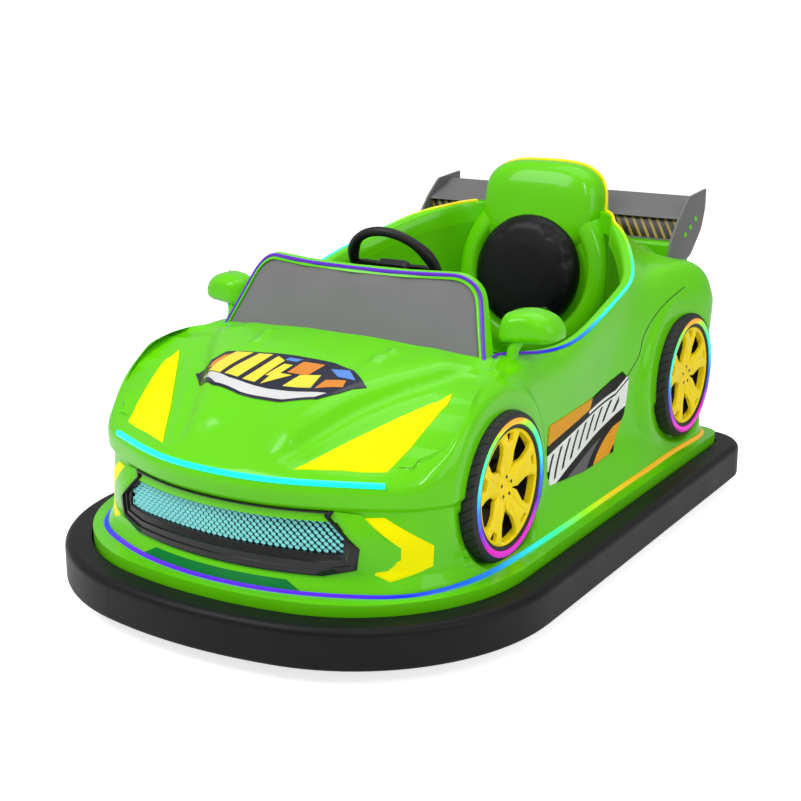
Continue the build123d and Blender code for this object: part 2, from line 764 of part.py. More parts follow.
with BuildPart() as steering_wheel:
    with BuildSketch(Plane(origin=wheel_at, x_dir=-column_way, z_dir=(1, 0, 0))) as grip:
        with Locations((0, wheel_radius)):
            Circle(wheel_grip)
    revolve(axis=Axis(wheel_at, column_way))
    with BuildSketch(wheel_plane.offset(-hub_depth)):
        Circle(hub_radius)
    extrude(amount=hub_depth)
    for angle in spoke_angles:
        with BuildSketch(wheel_plane.offset(-spoke_thickness)):
            with Locations(Location((0, 0, 0), (0, 0, angle))):
                with Locations(((hub_radius + wheel_radius - wheel_grip / 2) / 2 - 6, 0)):
                    Rectangle(wheel_radius - wheel_grip / 2 - hub_radius + 12, spoke_width)
        extrude(amount=spoke_thickness)
save(steering_wheel.part, "steering_wheel")

with BuildPart() as accelerator_pedal:
    with BuildSketch(Plane.YZ.offset(pedal_x - pedal_width / 2)):
        with BuildLine():
            Polyline((station(pedal_heel), floor_top + fit_gap), (station(pedal_heel) + 22, floor_top + fit_gap),
                     (station(pedal_toe[0]) + 14, pedal_toe[1]), (station(pedal_toe[0]), pedal_toe[1]), close=True)
        make_face()
    extrude(amount=pedal_width)
    fillet(accelerator_pedal.edges().group_by(Axis.Z)[-1].filter_by(Axis.X), 5)
save(accelerator_pedal.part, "accelerator_pedal")

# ---------------------------------------------------------------- seat
back_normal = Vector(0, -cos(radians(seat_lean)), sin(radians(seat_lean)))
back_plane = Plane(origin=(0, station(back_station), pad_height), x_dir=(1, 0, 0), z_dir=back_normal)


def behind_back(gap=0.0):
    """Everything behind the leaning front of the seat back."""
    with BuildPart() as made:
        with BuildSketch(back_plane.offset(gap)):
            Rectangle(1600, 1600)
        extrude(amount=-400)
    return made.part


with BuildPart() as seat_base:
    add(keep(cockpit_block(-fit_gap, floor_top, seat_height), seat_front, 900, z0=floor_top))
    add(keep(cockpit_block(-fit_gap - seat_wall, floor_top - 1, seat_height - seat_wall),
             seat_front + seat_wall, 900, z0=floor_top - 1), mode=Mode.SUBTRACT)
    fillet(seat_base.edges().filter_by(Axis.X).group_by(Axis.Y)[0].sort_by(Axis.Z)[-1], 6)
save(seat_base.part, "seat_base")

with BuildPart() as seat_cushion:
    with BuildSketch(Plane.XY.offset(seat_height + fit_gap)):
        with Locations((0, station(seat_front) + 14 + cushion_size[1] / 2)):
            RectangleRounded(cushion_size[0], cushion_size[1], 60)
    extrude(amount=cushion_size[2])
    fillet(seat_cushion.faces().sort_by(Axis.Z)[-1].edges(), cushion_round)
save(seat_cushion.part, "seat_cushion")

with BuildPart() as seat_back:
    add(cockpit_block(-fit_gap, seat_height + fit_gap, head_foot) & behind_back())
    # headrest
    with BuildSketch(Plane.XZ.offset(-station(900))):
        with BuildLine():
            Polyline((-head_half, head_top - 90), (-head_half, head_foot), (head_half, head_foot),
                     (head_half, head_top - 90))
            ThreePointArc((head_half, head_top - 90), (head_half - 30, head_top - 30), (head_half - 90, head_top - 6))
            ThreePointArc((head_half - 90, head_top - 6), (0, head_top), (-head_half + 90, head_top - 6))
            ThreePointArc((-head_half + 90, head_top - 6), (-head_half + 30, head_top - 30),
                          (-head_half, head_top - 90))
        make_face()
    extrude(amount=300)
    add(behind_back(), mode=Mode.INTERSECT)
    add(behind_back(-head_depth) & block(-800, 800, 0, 1200, head_foot, 1000), mode=Mode.SUBTRACT)
save(seat_back.part, "seat_back")

with BuildPart() as back_pad:
    with BuildSketch(back_plane.offset(fit_gap)):
        Circle(pad_radius)
    extrude(amount=pad_thickness)
    fillet(back_pad.edges().filter_by(GeomType.CIRCLE).sort_by(Axis.Y)[:1], 26)
save(back_pad.part, "back_pad")

# ---------------------------------------------------------------- windscreen
lean_way = Vector(0, sin(radians(screen_lean)), cos(radians(screen_lean)))


def screen_slab(front, back):
    """A bowed, leaning slab between two depths behind the windscreen's face."""
    half = screen_foot[0] + 40
    edge_y = station(screen_station) + screen_bow * (half / screen_foot[0]) ** 2
    foot_shift = (screen_base - screen_foot[1]) * tan(radians(screen_lean))
    with BuildPart() as made:
        with BuildSketch(Plane.XY.offset(screen_foot[1])):
            with BuildLine():
                near, far = front - foot_shift, back - foot_shift
                ThreePointArc((-half, edge_y + near), (0, station(screen_station) + near), (half, edge_y + near))
                Line((half, edge_y + near), (half, edge_y + far))
                ThreePointArc((half, edge_y + far), (0, station(screen_station) + far), (-half, edge_y + far))
                Line((-half, edge_y + far), (-half, edge_y + near))
            make_face()
        extrude(amount=(screen_head[1] - screen_foot[1] + 20) / cos(radians(screen_lean)), dir=lean_way)
    return made.part


def screen_outline(border):
    """The windscreen's outline seen from the front, moved inwards, as a prism along the car."""
    with BuildPart() as made:
        with BuildSketch(Plane.XZ.offset(-station(-100))):
            with BuildLine():
                Polyline((-screen_foot[0], screen_foot[1]), (-screen_head[0], screen_head[1]),
                         (screen_head[0], screen_head[1]), (screen_foot[0], screen_foot[1]), close=True)
            face = make_face()
            fillet(face.vertices().group_by(Axis.Z)[-1], screen_corner)
            if border:
                offset(amount=-border)
        extrude(amount=400)
    return made.part


body_clear = Location((0, 0, fit_gap)) * (body_outer - cockpit_space)
with BuildPart() as windscreen_frame:
    add(screen_slab(0, screen_depth) & screen_outline(0))
    add(screen_slab(-1, screen_glass) & screen_outline(screen_border), mode=Mode.SUBTRACT)
    add(body_clear, mode=Mode.SUBTRACT)
    add(Location((0, 0, fit_gap)) * body_inner, mode=Mode.SUBTRACT)
    add(dash_panel.part, mode=Mode.SUBTRACT)
save(windscreen_frame.part, "windscreen_frame")

with BuildPart() as windscreen:
    add(screen_slab(0, screen_glass - fit_gap) & screen_outline(screen_border + fit_gap))
    add(body_clear, mode=Mode.SUBTRACT)
    add(Location((0, 0, fit_gap)) * body_inner, mode=Mode.SUBTRACT)
    add(dash_panel.part, mode=Mode.SUBTRACT)
save(windscreen.part, "windscreen")

# ---------------------------------------------------------------- mirrors
for name, side in (("left", 1), ("right", -1)):
    centre = (side * mirror_centre[0], station(mirror_centre[1]), mirror_centre[2])
    foot = Vector(side * mirror_foot[0], station(mirror_foot[1]), mirror_foot[2] - 20)
    neck = Vector(side * (mirror_centre[0] - 30), centre[1], centre[2] - 16) - foot
    with BuildPart() as mirror:
        with Locations(centre):
            Box(*mirror_size)
        fillet(mirror.edges().filter_by(Axis.Y), mirror_round)
        fillet(mirror.faces().sort_by(Axis.Y)[0].edges(), mirror_round * 0.8)
        with BuildSketch(Plane(origin=foot, z_dir=neck.normalized())):
            Circle(mirror_stalk)
        extrude(amount=neck.length)
        add(Location((0, 0, fit_gap)) * body_outer, mode=Mode.SUBTRACT)
    save(mirror.part, f"mirror_{name}")

# ---------------------------------------------------------------- rear wing
for name, side in (("left", 1), ("right", -1)):
    with BuildPart() as endplate:
        with BuildSketch(Plane.YZ.offset(plate_x if side > 0 else -plate_x - plate_thickness)):
            with BuildLine():
                Polyline(*[(station(d), z) for d, z in plate_outline], close=True)
            make_face()
        extrude(amount=plate_thickness)
        fillet(endplate.edges().filter_by(Axis.X).sort_by(Axis.Y)[:-1], 8)
    save(endplate.part, f"wing_endplate_{name}")

foil_start = Vector(station(foil_ends[0][0]), foil_ends[0][1])
foil_way = (Vector(station(foil_ends[1][0]), foil_ends[1][1]) - foil_start).normalized()
foil_up = Vector(-foil_way.Y, foil_way.X)
foil_chord = (Vector(station(foil_ends[1][0]), foil_ends[1][1]) - foil_start).length
with BuildPart() as rear_wing:
    with BuildSketch(Plane.YZ.offset(-plate_x + fit_gap)):
        with BuildLine():
            points = [foil_start, foil_start + foil_way * (foil_chord * 0.4) + foil_up * foil_thickness * 0.3,
                      foil_start + foil_way * foil_chord,
                      foil_start + foil_way * (foil_chord * 0.4) - foil_up * foil_thickness]
            ThreePointArc(points[0], points[1], points[2])
            Line(points[2], points[2] - foil_up * 3)
            ThreePointArc(points[2] - foil_up * 3, points[3], points[0] - foil_up * 4)
            Line(points[0] - foil_up * 4, points[0])
        make_face()
    extrude(amount=2 * (plate_x - fit_gap))
save(rear_wing.part, "rear_wing")

with BuildPart() as wing_beam:
    add(block(-plate_x + fit_gap, plate_x - fit_gap, station(beam_section[0]), station(beam_section[1]),
              beam_section[2], beam_section[3]))
    chamfer(wing_beam.edges().filter_by(Axis.X), 10)
    add(block(-pedestal_half, pedestal_half, station(beam_section[0]) - 60, station(beam_section[0]) + 40,
              400, beam_section[2] + 20))
    add(body_clear, mode=Mode.SUBTRACT)
    add(Location((0, 0, fit_gap)) * body_inner, mode=Mode.SUBTRACT)
    add(cockpit_block(tub_wall + fit_gap, 100, 900), mode=Mode.SUBTRACT)
save(wing_beam.part, "wing_beam")

# ---------------------------------------------------------------- show wheels
for end, (place, outer, height) in show_wheels.items():
    for name, side in (("left", 1), ("right", -1)):
        face = Plane(origin=(side * outer, station(place), height), x_dir=(0, 1, 0), z_dir=(side, 0, 0))
        with BuildPart() as tyre:
            with BuildSketch(face.offset(-show_wheel_depth)):
                Circle(show_wheel_radius)
            extrude(amount=show_wheel_depth)
            fillet(tyre.edges().filter_by(GeomType.CIRCLE), 9)
            with BuildSketch(face.offset(-show_wheel_depth)):
                Circle(tyre_inner)
            extrude(amount=show_wheel_depth, mode=Mode.SUBTRACT)
        save(tyre.part, f"show_tyre_{end}_{name}")
        with BuildPart() as rim:
            with BuildSketch(face.offset(-show_wheel_depth)):
                Circle(tyre_inner - fit_gap)
            extrude(amount=show_wheel_depth - 4)
            # dish, down to a back plate
            with BuildSketch(face.offset(-4)):
                Circle(tyre_inner - rim_lip)
            extrude(amount=-show_wheel_depth + 12, mode=Mode.SUBTRACT)
            with BuildSketch(face.offset(-rim_dish)):
                Circle(rim_hub)
                with PolarLocations(0, rim_spokes):
                    Polygon(*spoke_corners, align=None)
            extrude(amount=-(show_wheel_depth - rim_dish - 4))
        save(rim.part, f"show_rim_{end}_{name}")

# ---------------------------------------------------------------- light strips
with BuildPart() as skirt_light_strip:
    add(body_outline(skirt_top + fit_gap, -strip_width))
    extrude(amount=strip_height)
    add(body_outline(skirt_top + fit_gap, -fit_gap))
    extrude(amount=strip_height + 1, mode=Mode.SUBTRACT)
    for well in wells:
        add(well, mode=Mode.SUBTRACT)
    add(body_outer, mode=Mode.SUBTRACT)
save(skirt_light_strip.part, "skirt_light_strip")

with BuildPart() as nose_light_strip:
    add(body_plan(-3))
    add(body_plan(-fit_gap), mode=Mode.SUBTRACT)
    add(block(-nose_strip[0], nose_strip[0], station(-900), station(-600), nose_strip[1] - strip_height,
              nose_strip[1]), mode=Mode.INTERSECT)
save(nose_light_strip.part, "nose_light_strip")

with BuildPart() as rim_light_strip:
    add(coaming_block(4, 400, 900) & profile_block(rim_line, drop=4))
    add(coaming_block(fit_gap, 300, 950), mode=Mode.SUBTRACT)
    add(profile_block(rim_line, drop=4 + strip_height), mode=Mode.SUBTRACT)
    add(body_outer, mode=Mode.SUBTRACT)
    add(block(-800, 800, station(-400), station(front_seam) + 30, 0, 900), mode=Mode.SUBTRACT)
    add(head_opening, mode=Mode.SUBTRACT)
save(rim_light_strip.part, "rim_light_strip")
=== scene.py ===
"""Ride-on bumper car: painted shells, show wheels, lamps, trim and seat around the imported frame."""
import math

import bmesh
import bpy
import numpy as np
from mathutils import Matrix, Vector
from mathutils.bvhtree import BVHTree


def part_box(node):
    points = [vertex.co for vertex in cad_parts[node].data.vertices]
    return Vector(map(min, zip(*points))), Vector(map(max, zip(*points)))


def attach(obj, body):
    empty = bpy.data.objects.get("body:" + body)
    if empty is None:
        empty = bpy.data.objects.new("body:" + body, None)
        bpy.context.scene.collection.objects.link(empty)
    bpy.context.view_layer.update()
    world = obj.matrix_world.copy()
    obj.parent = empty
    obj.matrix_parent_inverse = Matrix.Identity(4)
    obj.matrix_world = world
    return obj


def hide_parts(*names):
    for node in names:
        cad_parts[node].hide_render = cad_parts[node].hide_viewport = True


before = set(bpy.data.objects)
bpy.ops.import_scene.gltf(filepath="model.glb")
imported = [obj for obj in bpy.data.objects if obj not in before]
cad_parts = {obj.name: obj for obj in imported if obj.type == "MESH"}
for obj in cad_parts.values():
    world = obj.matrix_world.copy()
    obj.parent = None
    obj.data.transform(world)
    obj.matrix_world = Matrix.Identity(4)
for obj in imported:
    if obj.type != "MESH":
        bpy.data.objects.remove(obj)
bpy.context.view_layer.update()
mm = 0.001
ring_shift = -30.0  # the bumper ring's middle lies this far ahead of the origin


# ---------------------------------------------------------------- finishes
def operator(operation):
    """An operator that adds one Math node."""
    return lambda self, other: self.math(operation, other)


class Value:
    """One shader output; arithmetic on it adds the Math nodes."""

    def __init__(self, tree, socket):
        self.tree, self.socket = tree, socket

    def math(self, operation, *others):
        return self.tree.node("Math", {"operation": operation}, dict(enumerate((self,) + others)))

    __add__ = __radd__ = operator("ADD")
    __mul__ = __rmul__ = operator("MULTIPLY")
    __sub__, __truediv__ = operator("SUBTRACT"), operator("DIVIDE")
    __lt__, __gt__ = operator("LESS_THAN"), operator("GREATER_THAN")


class Nodes:
    """A shader's node tree, filled by one method."""

    def __init__(self, tree):
        self.tree = tree
        tree.nodes.clear()

    def node(self, kind, settings=None, given=None, output=0):
        """Adds a node with its settings and its given inputs, which are values or other nodes' outputs."""
        made = self.tree.nodes.new("ShaderNode" + kind)
        for key, value in (settings or {}).items():
            if key == "stops":
                ramp = made.color_ramp.elements
                while len(ramp) < len(value):
                    ramp.new(0.5)
                for stop, (place, colour) in zip(ramp, value):
                    stop.position, stop.color = place, (*colour, 1.0)
            else:
                setattr(made, key, value)
        for key, value in (given or {}).items():
            if isinstance(value, Value):
                self.tree.links.new(value.socket, made.inputs[key])
            elif isinstance(value, tuple) and len(value) == 3 and len(made.inputs[key].default_value) == 4:
                made.inputs[key].default_value = (*value, 1.0)
            else:
                made.inputs[key].default_value = value
        return Value(self, made.outputs[output])

    def ray(self, kind):
        """1 where the ray that looks at the surface is of this kind, else 0."""
        return self.node("LightPath", output=f"Is {kind} Ray")

    def shown(self, shader, kind="OutputMaterial"):
        """Joins a shader to the tree's output."""
        out = self.tree.nodes.new("ShaderNode" + kind)
        self.tree.links.new(shader.socket, out.inputs["Surface"])


class Finish(Nodes):
    """A node material for one of the car's surfaces."""

    def __init__(self, name):
        self.material = bpy.data.materials.new(name)
        self.material.use_nodes = True
        super().__init__(self.material.node_tree)

    def place(self):
        return self.node("TexCoord", output="Object")

    def axes(self, vector):
        parts = self.node("SeparateXYZ", given={0: vector})
        return [Value(self, out) for out in parts.socket.node.outputs]

    def noise(self, vector, scale, detail=3.0):
        return self.node("TexNoise", given={"Vector": vector, "Scale": scale, "Detail": detail})

    def ramp(self, factor, stops):
        return self.node("ValToRGB", {"stops": stops}, {0: factor})

    def blend(self, factor, first, second):
        return self.node("Mix", {"data_type": "RGBA"}, {0: factor, 6: first, 7: second}, output=2)

    def bump(self, height, strength, distance):
        return self.node("Bump", given={"Strength": strength, "Distance": distance, "Height": height})

    def surface(self, base, roughness, **more):
        given = {"Base Color": base, "Roughness": roughness}
        for key, value in more.items():
            given[key.replace("_", " ").title().replace("Ior", "IOR")] = value
        self.shown(self.node("BsdfPrincipled", given=given))
        return self


grain_scale = 1400.0  # how fine the grain of plastic and rubber is


def body_paint(name, colour, shade):
    """Gel coat: a slow shift of tone, orange peel and a clear top coat."""
    finish = Finish(name)
    where = finish.place()
    drift = finish.noise(where, 3.0)
    peel = finish.bump(finish.noise(where, 900.0, 2.0), 0.03, 0.0004)
    tone = finish.blend(drift, colour, shade)
    return finish.surface(tone, 0.2 + drift * 0.1, specular_ior_level=0.15, normal=peel, coat_weight=0.3,
                          coat_roughness=0.04)


def moulded(name, colour, roughness=0.5, grain=0.08, metallic=0.0, coat=0.0, specular=0.28, glow=0.0):
    """Plain plastic, rubber, metal or paint with a fine grain and slightly uneven gloss, and a glow where
    asked: a lamp's own light, or painted light on parts that are no lamps.
    """
    finish = Finish(name)
    where = finish.place()
    fine = finish.bump(finish.noise(where, grain_scale, 2.0), grain, 0.0006)
    slow = finish.noise(where, 9.0, 4.0)
    base = finish.blend(slow, tuple(channel * 0.8 for channel in colour), colour)
    rough = (roughness - 0.06) + slow * 0.12
    more = {"coat_weight": coat} if coat else {}
    if glow:
        more.update(emission_color=colour, emission_strength=glow)
    return finish.surface(base, rough, metallic=metallic, specular_ior_level=specular, normal=fine, **more)


def lit(name, stops, axis, ends, glow=0.35):
    """A light strip whose colour changes along one axis of the car, between two places in metres."""
    finish = Finish(name)
    along = finish.axes(finish.place())[axis]
    colour = finish.ramp((along - ends[0]) / (ends[1] - ends[0]), stops)
    return finish.surface(colour, 0.3, emission_color=colour, emission_strength=glow)


def honeycomb(finish, where, size):
    """1 on the walls of a fine staggered mesh, 0 in its cells, over a pattern map."""
    across, up, _ = finish.axes(where)
    row = (up / size).math("FLOOR")
    shifted = across / size + row * 0.5
    edge_across = shifted.math("FRACT").math("SUBTRACT", 0.5).math("ABSOLUTE")
    edge_up = (up / size).math("FRACT").math("SUBTRACT", 0.5).math("ABSOLUTE")
    return (edge_across + edge_up * 0.6) > 0.56


def decal_print():
    """Slanted bands of the side panels: honeycomb orange, black, grey and a white sweep with dark slashes."""
    finish = Finish("side decal print")
    where = finish.node("UVMap", {"uv_map": "flow"})
    along, up, _ = finish.axes(where)
    cells = honeycomb(finish, where, 0.0075)
    orange = finish.blend(cells, (0.90, 0.40, 0.008), (0.60, 0.20, 0.003))
    black, white, grey = (0.002, 0.002, 0.002), (0.90, 0.90, 0.90), (0.12, 0.12, 0.125)

    def above(start, slope):
        return (up - along * slope) > start

    sweep = above(0.269, 0.219) * above(0.248, 0.304)
    slash = ((along - up * 0.8) / 0.043).math("FRACT") < 0.3
    slashed = above(0.281, 0.219) * above(0.260, 0.304) * ((up - along * 0.17) < 0.338) * (along < 0.31)
    tail = above(0.368, 0.134) * ((along - up * 0.45) < -0.0305)
    colour = black
    for mask, paint in (
            (above(0.117, 0.511), orange), (above(0.173, 0.471), black), (above(0.195, 0.460), grey),
            (above(0.250, 0.200), black), (sweep, white), (slash * slashed, black),
            (above(0.346, 0.158) * above(0.2265, 0.57), black),
            (above(0.352, 0.158) * above(0.2325, 0.57) * (along > 0.14), white),
            (above(0.361, 0.158) * above(0.2415, 0.57), black), (tail, orange)):
        colour = finish.blend(mask, colour, paint)
    return finish.surface(colour, 0.4, specular_ior_level=0.15)


def tread_rubber():
    """Tyre rubber with slanted grooves pressed into its tread, and painted shade darkening the grooves."""
    finish = Finish("tyre rubber")
    turn, across, _ = finish.axes(finish.node("UVMap", {"uv_map": "flow"}))
    lane = (turn * 44 + across * 26).math("FRACT")
    groove_and_painted_shade = (lane < 0.14) * (across < 0.048)
    fine = finish.noise(finish.place(), grain_scale, 2.0)
    # painted shade: the grooves are coloured darker than the rubber around them
    colour = finish.blend(groove_and_painted_shade, (0.030, 0.030, 0.032), (0.003, 0.003, 0.003))
    relief = finish.bump(fine * 0.1 - groove_and_painted_shade, 0.5, 0.002)
    return finish.surface(colour, 0.5, specular_ior_level=0.25, normal=relief)


def tub_painted_shade():
    """The tub's inside, with painted shade: bright on the driver's right, darker on the left, where shade
    falls on the wall.
    """
    finish = Finish("lime tub with painted shade")
    sideways, _, _ = finish.axes(finish.place())
    shade = (sideways / 0.45 + 0.7).math("MAXIMUM", 0.0).math("MINIMUM", 1.0)
    # painted shade: the green darkens from the driver's right towards the left
    colour = finish.blend(shade, (0.115, 0.58, 0.002), (0.045, 0.26, 0.002))
    return finish.surface(colour, 0.3, specular_ior_level=0.15)


def hatched():
    """The wing's dark band with slanted golden strokes, bare in its middle."""
    finish = Finish("wing band")
    sideways, _, height = finish.axes(finish.place())
    slant = (sideways / 0.026 + height / 0.04).math("FRACT")
    stroke = (slant < 0.36) * (sideways.math("ABSOLUTE") > 0.16)
    colour = finish.blend(stroke, (0.006, 0.006, 0.006), (0.42, 0.24, 0.02))
    return finish.surface(colour, 0.35)


lime = body_paint("lime gel coat", (0.145, 0.69, 0.002), (0.120, 0.60, 0.002))
# the tub's lime carries painted shade, darker towards the car's left
tub_green_painted_shade = tub_painted_shade()
joint_green = moulded("joint green", (0.012, 0.075, 0.002), 0.4)
dark_green = moulded("nose patch green", (0.001, 0.22, 0.036), 0.35, 0.03, specular=0.1)
pale_green = moulded("beam inset green", (0.26, 0.72, 0.06), 0.3, 0.03, coat=0.4)
rubber = moulded("bumper rubber", (0.007, 0.007, 0.008), 0.42, 0.2, specular=0.17)
black = moulded("black plastic", (0.012, 0.012, 0.013), 0.42, 0.15)
gloss_black = moulded("grille black", (0.009, 0.009, 0.010), 0.25, 0.05, coat=0.3)
frame_paint = moulded("frame paint", (0.015, 0.015, 0.016), 0.4)
steel = moulded("turned steel", (0.55, 0.55, 0.56), 0.3, 0.05, 1.0)
motor_grey = moulded("motor paint", (0.035, 0.037, 0.04), 0.4)
screen_grey = moulded("screen grey", (0.20, 0.20, 0.203), 0.6, 0.02, specular=0.12)
wing_grey = moulded("wing grey", (0.165, 0.165, 0.17), 0.45, 0.04)
yellow = moulded("lamp yellow", (1.0, 0.92, 0.0), 0.35, 0.02, specular=0.05, glow=0.12)
red = moulded("lamp red", (0.5, 0.01, 0.01), 0.18, 0.02, coat=0.5)
# painted light: the wheel gold glows a little, though the wheel has no lamp
gold = moulded("wheel gold with painted glow", (1.0, 0.76, 0.006), 0.35, 0.03, specular=0.2, glow=0.1)
vinyl = moulded("pad vinyl", (0.006, 0.006, 0.007), 0.36, 0.12, specular=0.2)
# painted light: the grille's mesh dots glow a little, though they are no lamp
cyan_dots_painted_glow = moulded("mesh blue with painted glow", (0.24, 0.80, 0.80), 0.3, 0.02, glow=0.12)
dark_teal = moulded("mesh backing", (0.004, 0.05, 0.06), 0.5, 0.05)
mirror_glass = moulded("mirror glass", (0.6, 0.62, 0.64), 0.05, 0.0, 1.0)
navy, white, bright, amber, sky_blue = (
    moulded("emblem " + name, colour, 0.3, 0.02, coat=0.4) for name, colour in (
        ("navy", (0.006, 0.009, 0.03)), ("white", (0.75, 0.75, 0.76)), ("yellow", (0.96, 0.80, 0.05)),
        ("orange", (0.80, 0.26, 0.02)), ("blue", (0.10, 0.28, 0.80))))
tyre_tread = tread_rubber()
band_print = hatched()
side_print = decal_print()

violet, purple, blue = (0.10, 0.012, 0.82), (0.10, 0.012, 0.50), (0.0, 0.01, 0.82)
azure, cyan, aqua = (0.0, 0.20, 0.95), (0.01, 0.80, 0.86), (0.05, 1.0, 0.80)
turquoise, mint, spring = (0.0, 1.0, 0.84), (0.05, 1.0, 0.40), (0.32, 1.0, 0.0)
gold_glow, amber_glow, magenta = (0.85, 0.62, 0.0), (0.92, 0.42, 0.005), (0.85, 0.0, 0.62)
skirt_glow = lit("skirt light", [
    (0.0, violet), (0.035, violet), (0.075, blue), (0.2, azure), (0.31, cyan), (0.38, mint), (0.47, spring),
    (0.56, gold_glow), (0.68, amber_glow)], 1, (-0.90, 0.86))
rim_glow = lit("rim light", [
    (0.0, purple), (0.1, purple), (0.22, blue), (0.34, azure), (0.47, cyan), (0.62, aqua), (0.72, mint),
    (0.82, spring), (0.93, gold_glow), (1.0, gold_glow)], 1, (-0.32, 0.74))
nose_glow = lit("nose light", [(0.0, turquoise), (1.0, turquoise)], 0, (-1.0, 1.0))
screen_glow = lit("screen light", [(0.0, purple), (1.0, purple)], 0, (-1.0, 1.0), 0.2)
ring_stops = [(0.0, magenta), (0.12, magenta), (0.30, violet), (0.45, azure), (0.62, cyan), (0.80, mint),
              (0.92, spring), (0.97, amber_glow), (1.0, amber_glow)]

node_finish = {
    frame_paint: ("chassis_rim", "chassis_rails", "chassis_cross_tubes", "drive_bridge", "axle_brackets",
                  "drive_fork"),
    rubber: ("bumper_ring", "drive_wheel", "rear_road_wheel_left", "rear_road_wheel_right"),
    black: ("floor_pan", "battery_pack", "accelerator_pedal", "steering_column"),
    steel: ("rear_axles", "steering_shaft"),
    motor_grey: ("drive_motor",),
    # the seat base takes the tub's lime with its painted shade
    tub_green_painted_shade: ("seat_base",),
    red: ("tail_lights",),
}
finish_of = {node: finish for finish, nodes in node_finish.items() for node in nodes}
for node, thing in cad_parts.items():
    thing.data.materials.clear()
    thing.data.materials.append(finish_of.get(node, lime).material)


# ---------------------------------------------------------------- pieces
def linked(name, data):
    """A new object in the scene for a mesh, curve, light or camera."""
    thing = bpy.data.objects.new(name, data)
    bpy.context.scene.collection.objects.link(thing)
    return thing


def add_piece(name, bm, finish=lime, slot="body_paint", body="car", replaced=(), sharp=40.0, merge=0.02):
    """Closes a mesh built in millimetres, faces it outwards, puts it in the scene on its body and hides the
    parts it replaces; bodywork by default.
    """
    if merge:
        bmesh.ops.remove_doubles(bm, verts=bm.verts, dist=merge)
    bmesh.ops.recalc_face_normals(bm, faces=bm.faces)
    bmesh.ops.scale(bm, vec=(mm, mm, mm), verts=bm.verts)
    mesh = bpy.data.meshes.new(name)
    bm.to_mesh(mesh)
    bm.free()
    mesh.materials.append(finish.material)
    mesh.shade_smooth()
    mesh.set_sharp_from_angle(angle=math.radians(sharp))
    thing = linked(name, mesh)
    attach(thing, body)
    if replaced:
        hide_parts(*replaced)
    return thing


def at(x, distance, z):
    """A place in millimetres from its distance behind the ring's middle."""
    return Vector((x, distance + ring_shift, z))


def grid(columns_across, rows_up, place):
    """A sheet of squares whose corners are put where place(u, v) says, with u and v from 0 to 1."""
    bm = bmesh.new()
    bmesh.ops.create_grid(bm, x_segments=columns_across, y_segments=rows_up, size=1)
    for vert in bm.verts:
        vert.co = place((vert.co.x + 1) / 2, (vert.co.y + 1) / 2)
    return bm


def outline(corners, rounding=(), step=0.0):
    """A flat face over corners, rounded by a row of radii where given, cut into squares of one step."""
    bm = bmesh.new()
    verts = [bm.verts.new((*corner, 0)) for corner in corners]
    bm.faces.new(verts)
    for vert, radius in zip(verts, rounding):
        if radius:
            bmesh.ops.bevel(bm, geom=[vert], offset=radius, segments=8, profile=0.5, affect="VERTICES",
                            material=-1)
    bm.normal_update()
    if bm.faces[:][0].normal.z < 0:
        bmesh.ops.reverse_faces(bm, faces=bm.faces)
    if step:
        cut_up(bm, step)
    return bm


def cut_up(bm, step):
    """Cuts a flat shape into squares of one step."""
    for axis in (0, 1):
        low = min(vert.co[axis] for vert in bm.verts)
        high = max(vert.co[axis] for vert in bm.verts)
        count = max(int((high - low) / step), 1)
        for cut in range(1, count):
            where, way = Vector((0, 0, 0)), Vector((0, 0, 0))
            where[axis], way[axis] = low + (high - low) * cut / count, 1
            everything = bm.verts[:] + bm.edges[:] + bm.faces[:]
            bmesh.ops.bisect_plane(bm, geom=everything, plane_co=where, plane_no=way, dist=0.01)


def flat_map(bm):
    """Keeps the flat outline's own coordinates, in metres, as the pattern's map."""
    flow = bm.loops.layers.uv.new("flow")
    for face in bm.faces:
        for loop in face.loops:
            loop[flow].uv = (loop.vert.co.x * mm, loop.vert.co.y * mm)


def raised_by(bm, faces, rise, share=1.0):
    """Extrudes faces forwards by rise, drawn in towards their middle by share, and returns the new ones."""
    raised = bmesh.ops.extrude_face_region(bm, geom=faces)["geom"]
    verts = [vert for vert in raised if isinstance(vert, bmesh.types.BMVert)]
    middle = sum((vert.co for vert in verts), Vector()) / len(verts)
    bmesh.ops.translate(bm, verts=verts, vec=(0, 0, rise))
    bmesh.ops.scale(bm, vec=(share, share, 1), verts=verts, space=Matrix.Translation(-middle))
    return [face for face in raised if isinstance(face, bmesh.types.BMFace)]


def pillow(corners, depth, radius, rounding=(), step=0.0, rings=3, mapped=False, domed=0.0):
    """A flat-backed piece over an outline, as thick as depth, with its front edge rounded.

    A domed one draws its front in towards the middle by that share instead of stepping in by the radius.
    """
    bm = outline(corners, rounding)
    front = raised_by(bm, bm.faces[:], depth - radius)
    for ring in range(rings):
        start, end = math.pi / 2 * ring / rings, math.pi / 2 * (ring + 1) / rings
        rise = radius * (math.sin(end) - math.sin(start))
        if domed:
            share = (1 - domed + domed * math.cos(end)) / (1 - domed + domed * math.cos(start))
            front = raised_by(bm, front, rise, share)
        else:
            step_in = radius * (math.cos(start) - math.cos(end))
            bmesh.ops.inset_region(bm, faces=front, thickness=step_in, depth=rise, use_even_offset=True)
    if step:
        cut_up(bm, step)
    if mapped:
        flat_map(bm)
    return bm


def laid(bm, place):
    """Puts a flat shape onto a surface: place takes its two flat coordinates and its height."""
    for vert in bm.verts:
        vert.co = place(*vert.co)
    return bm


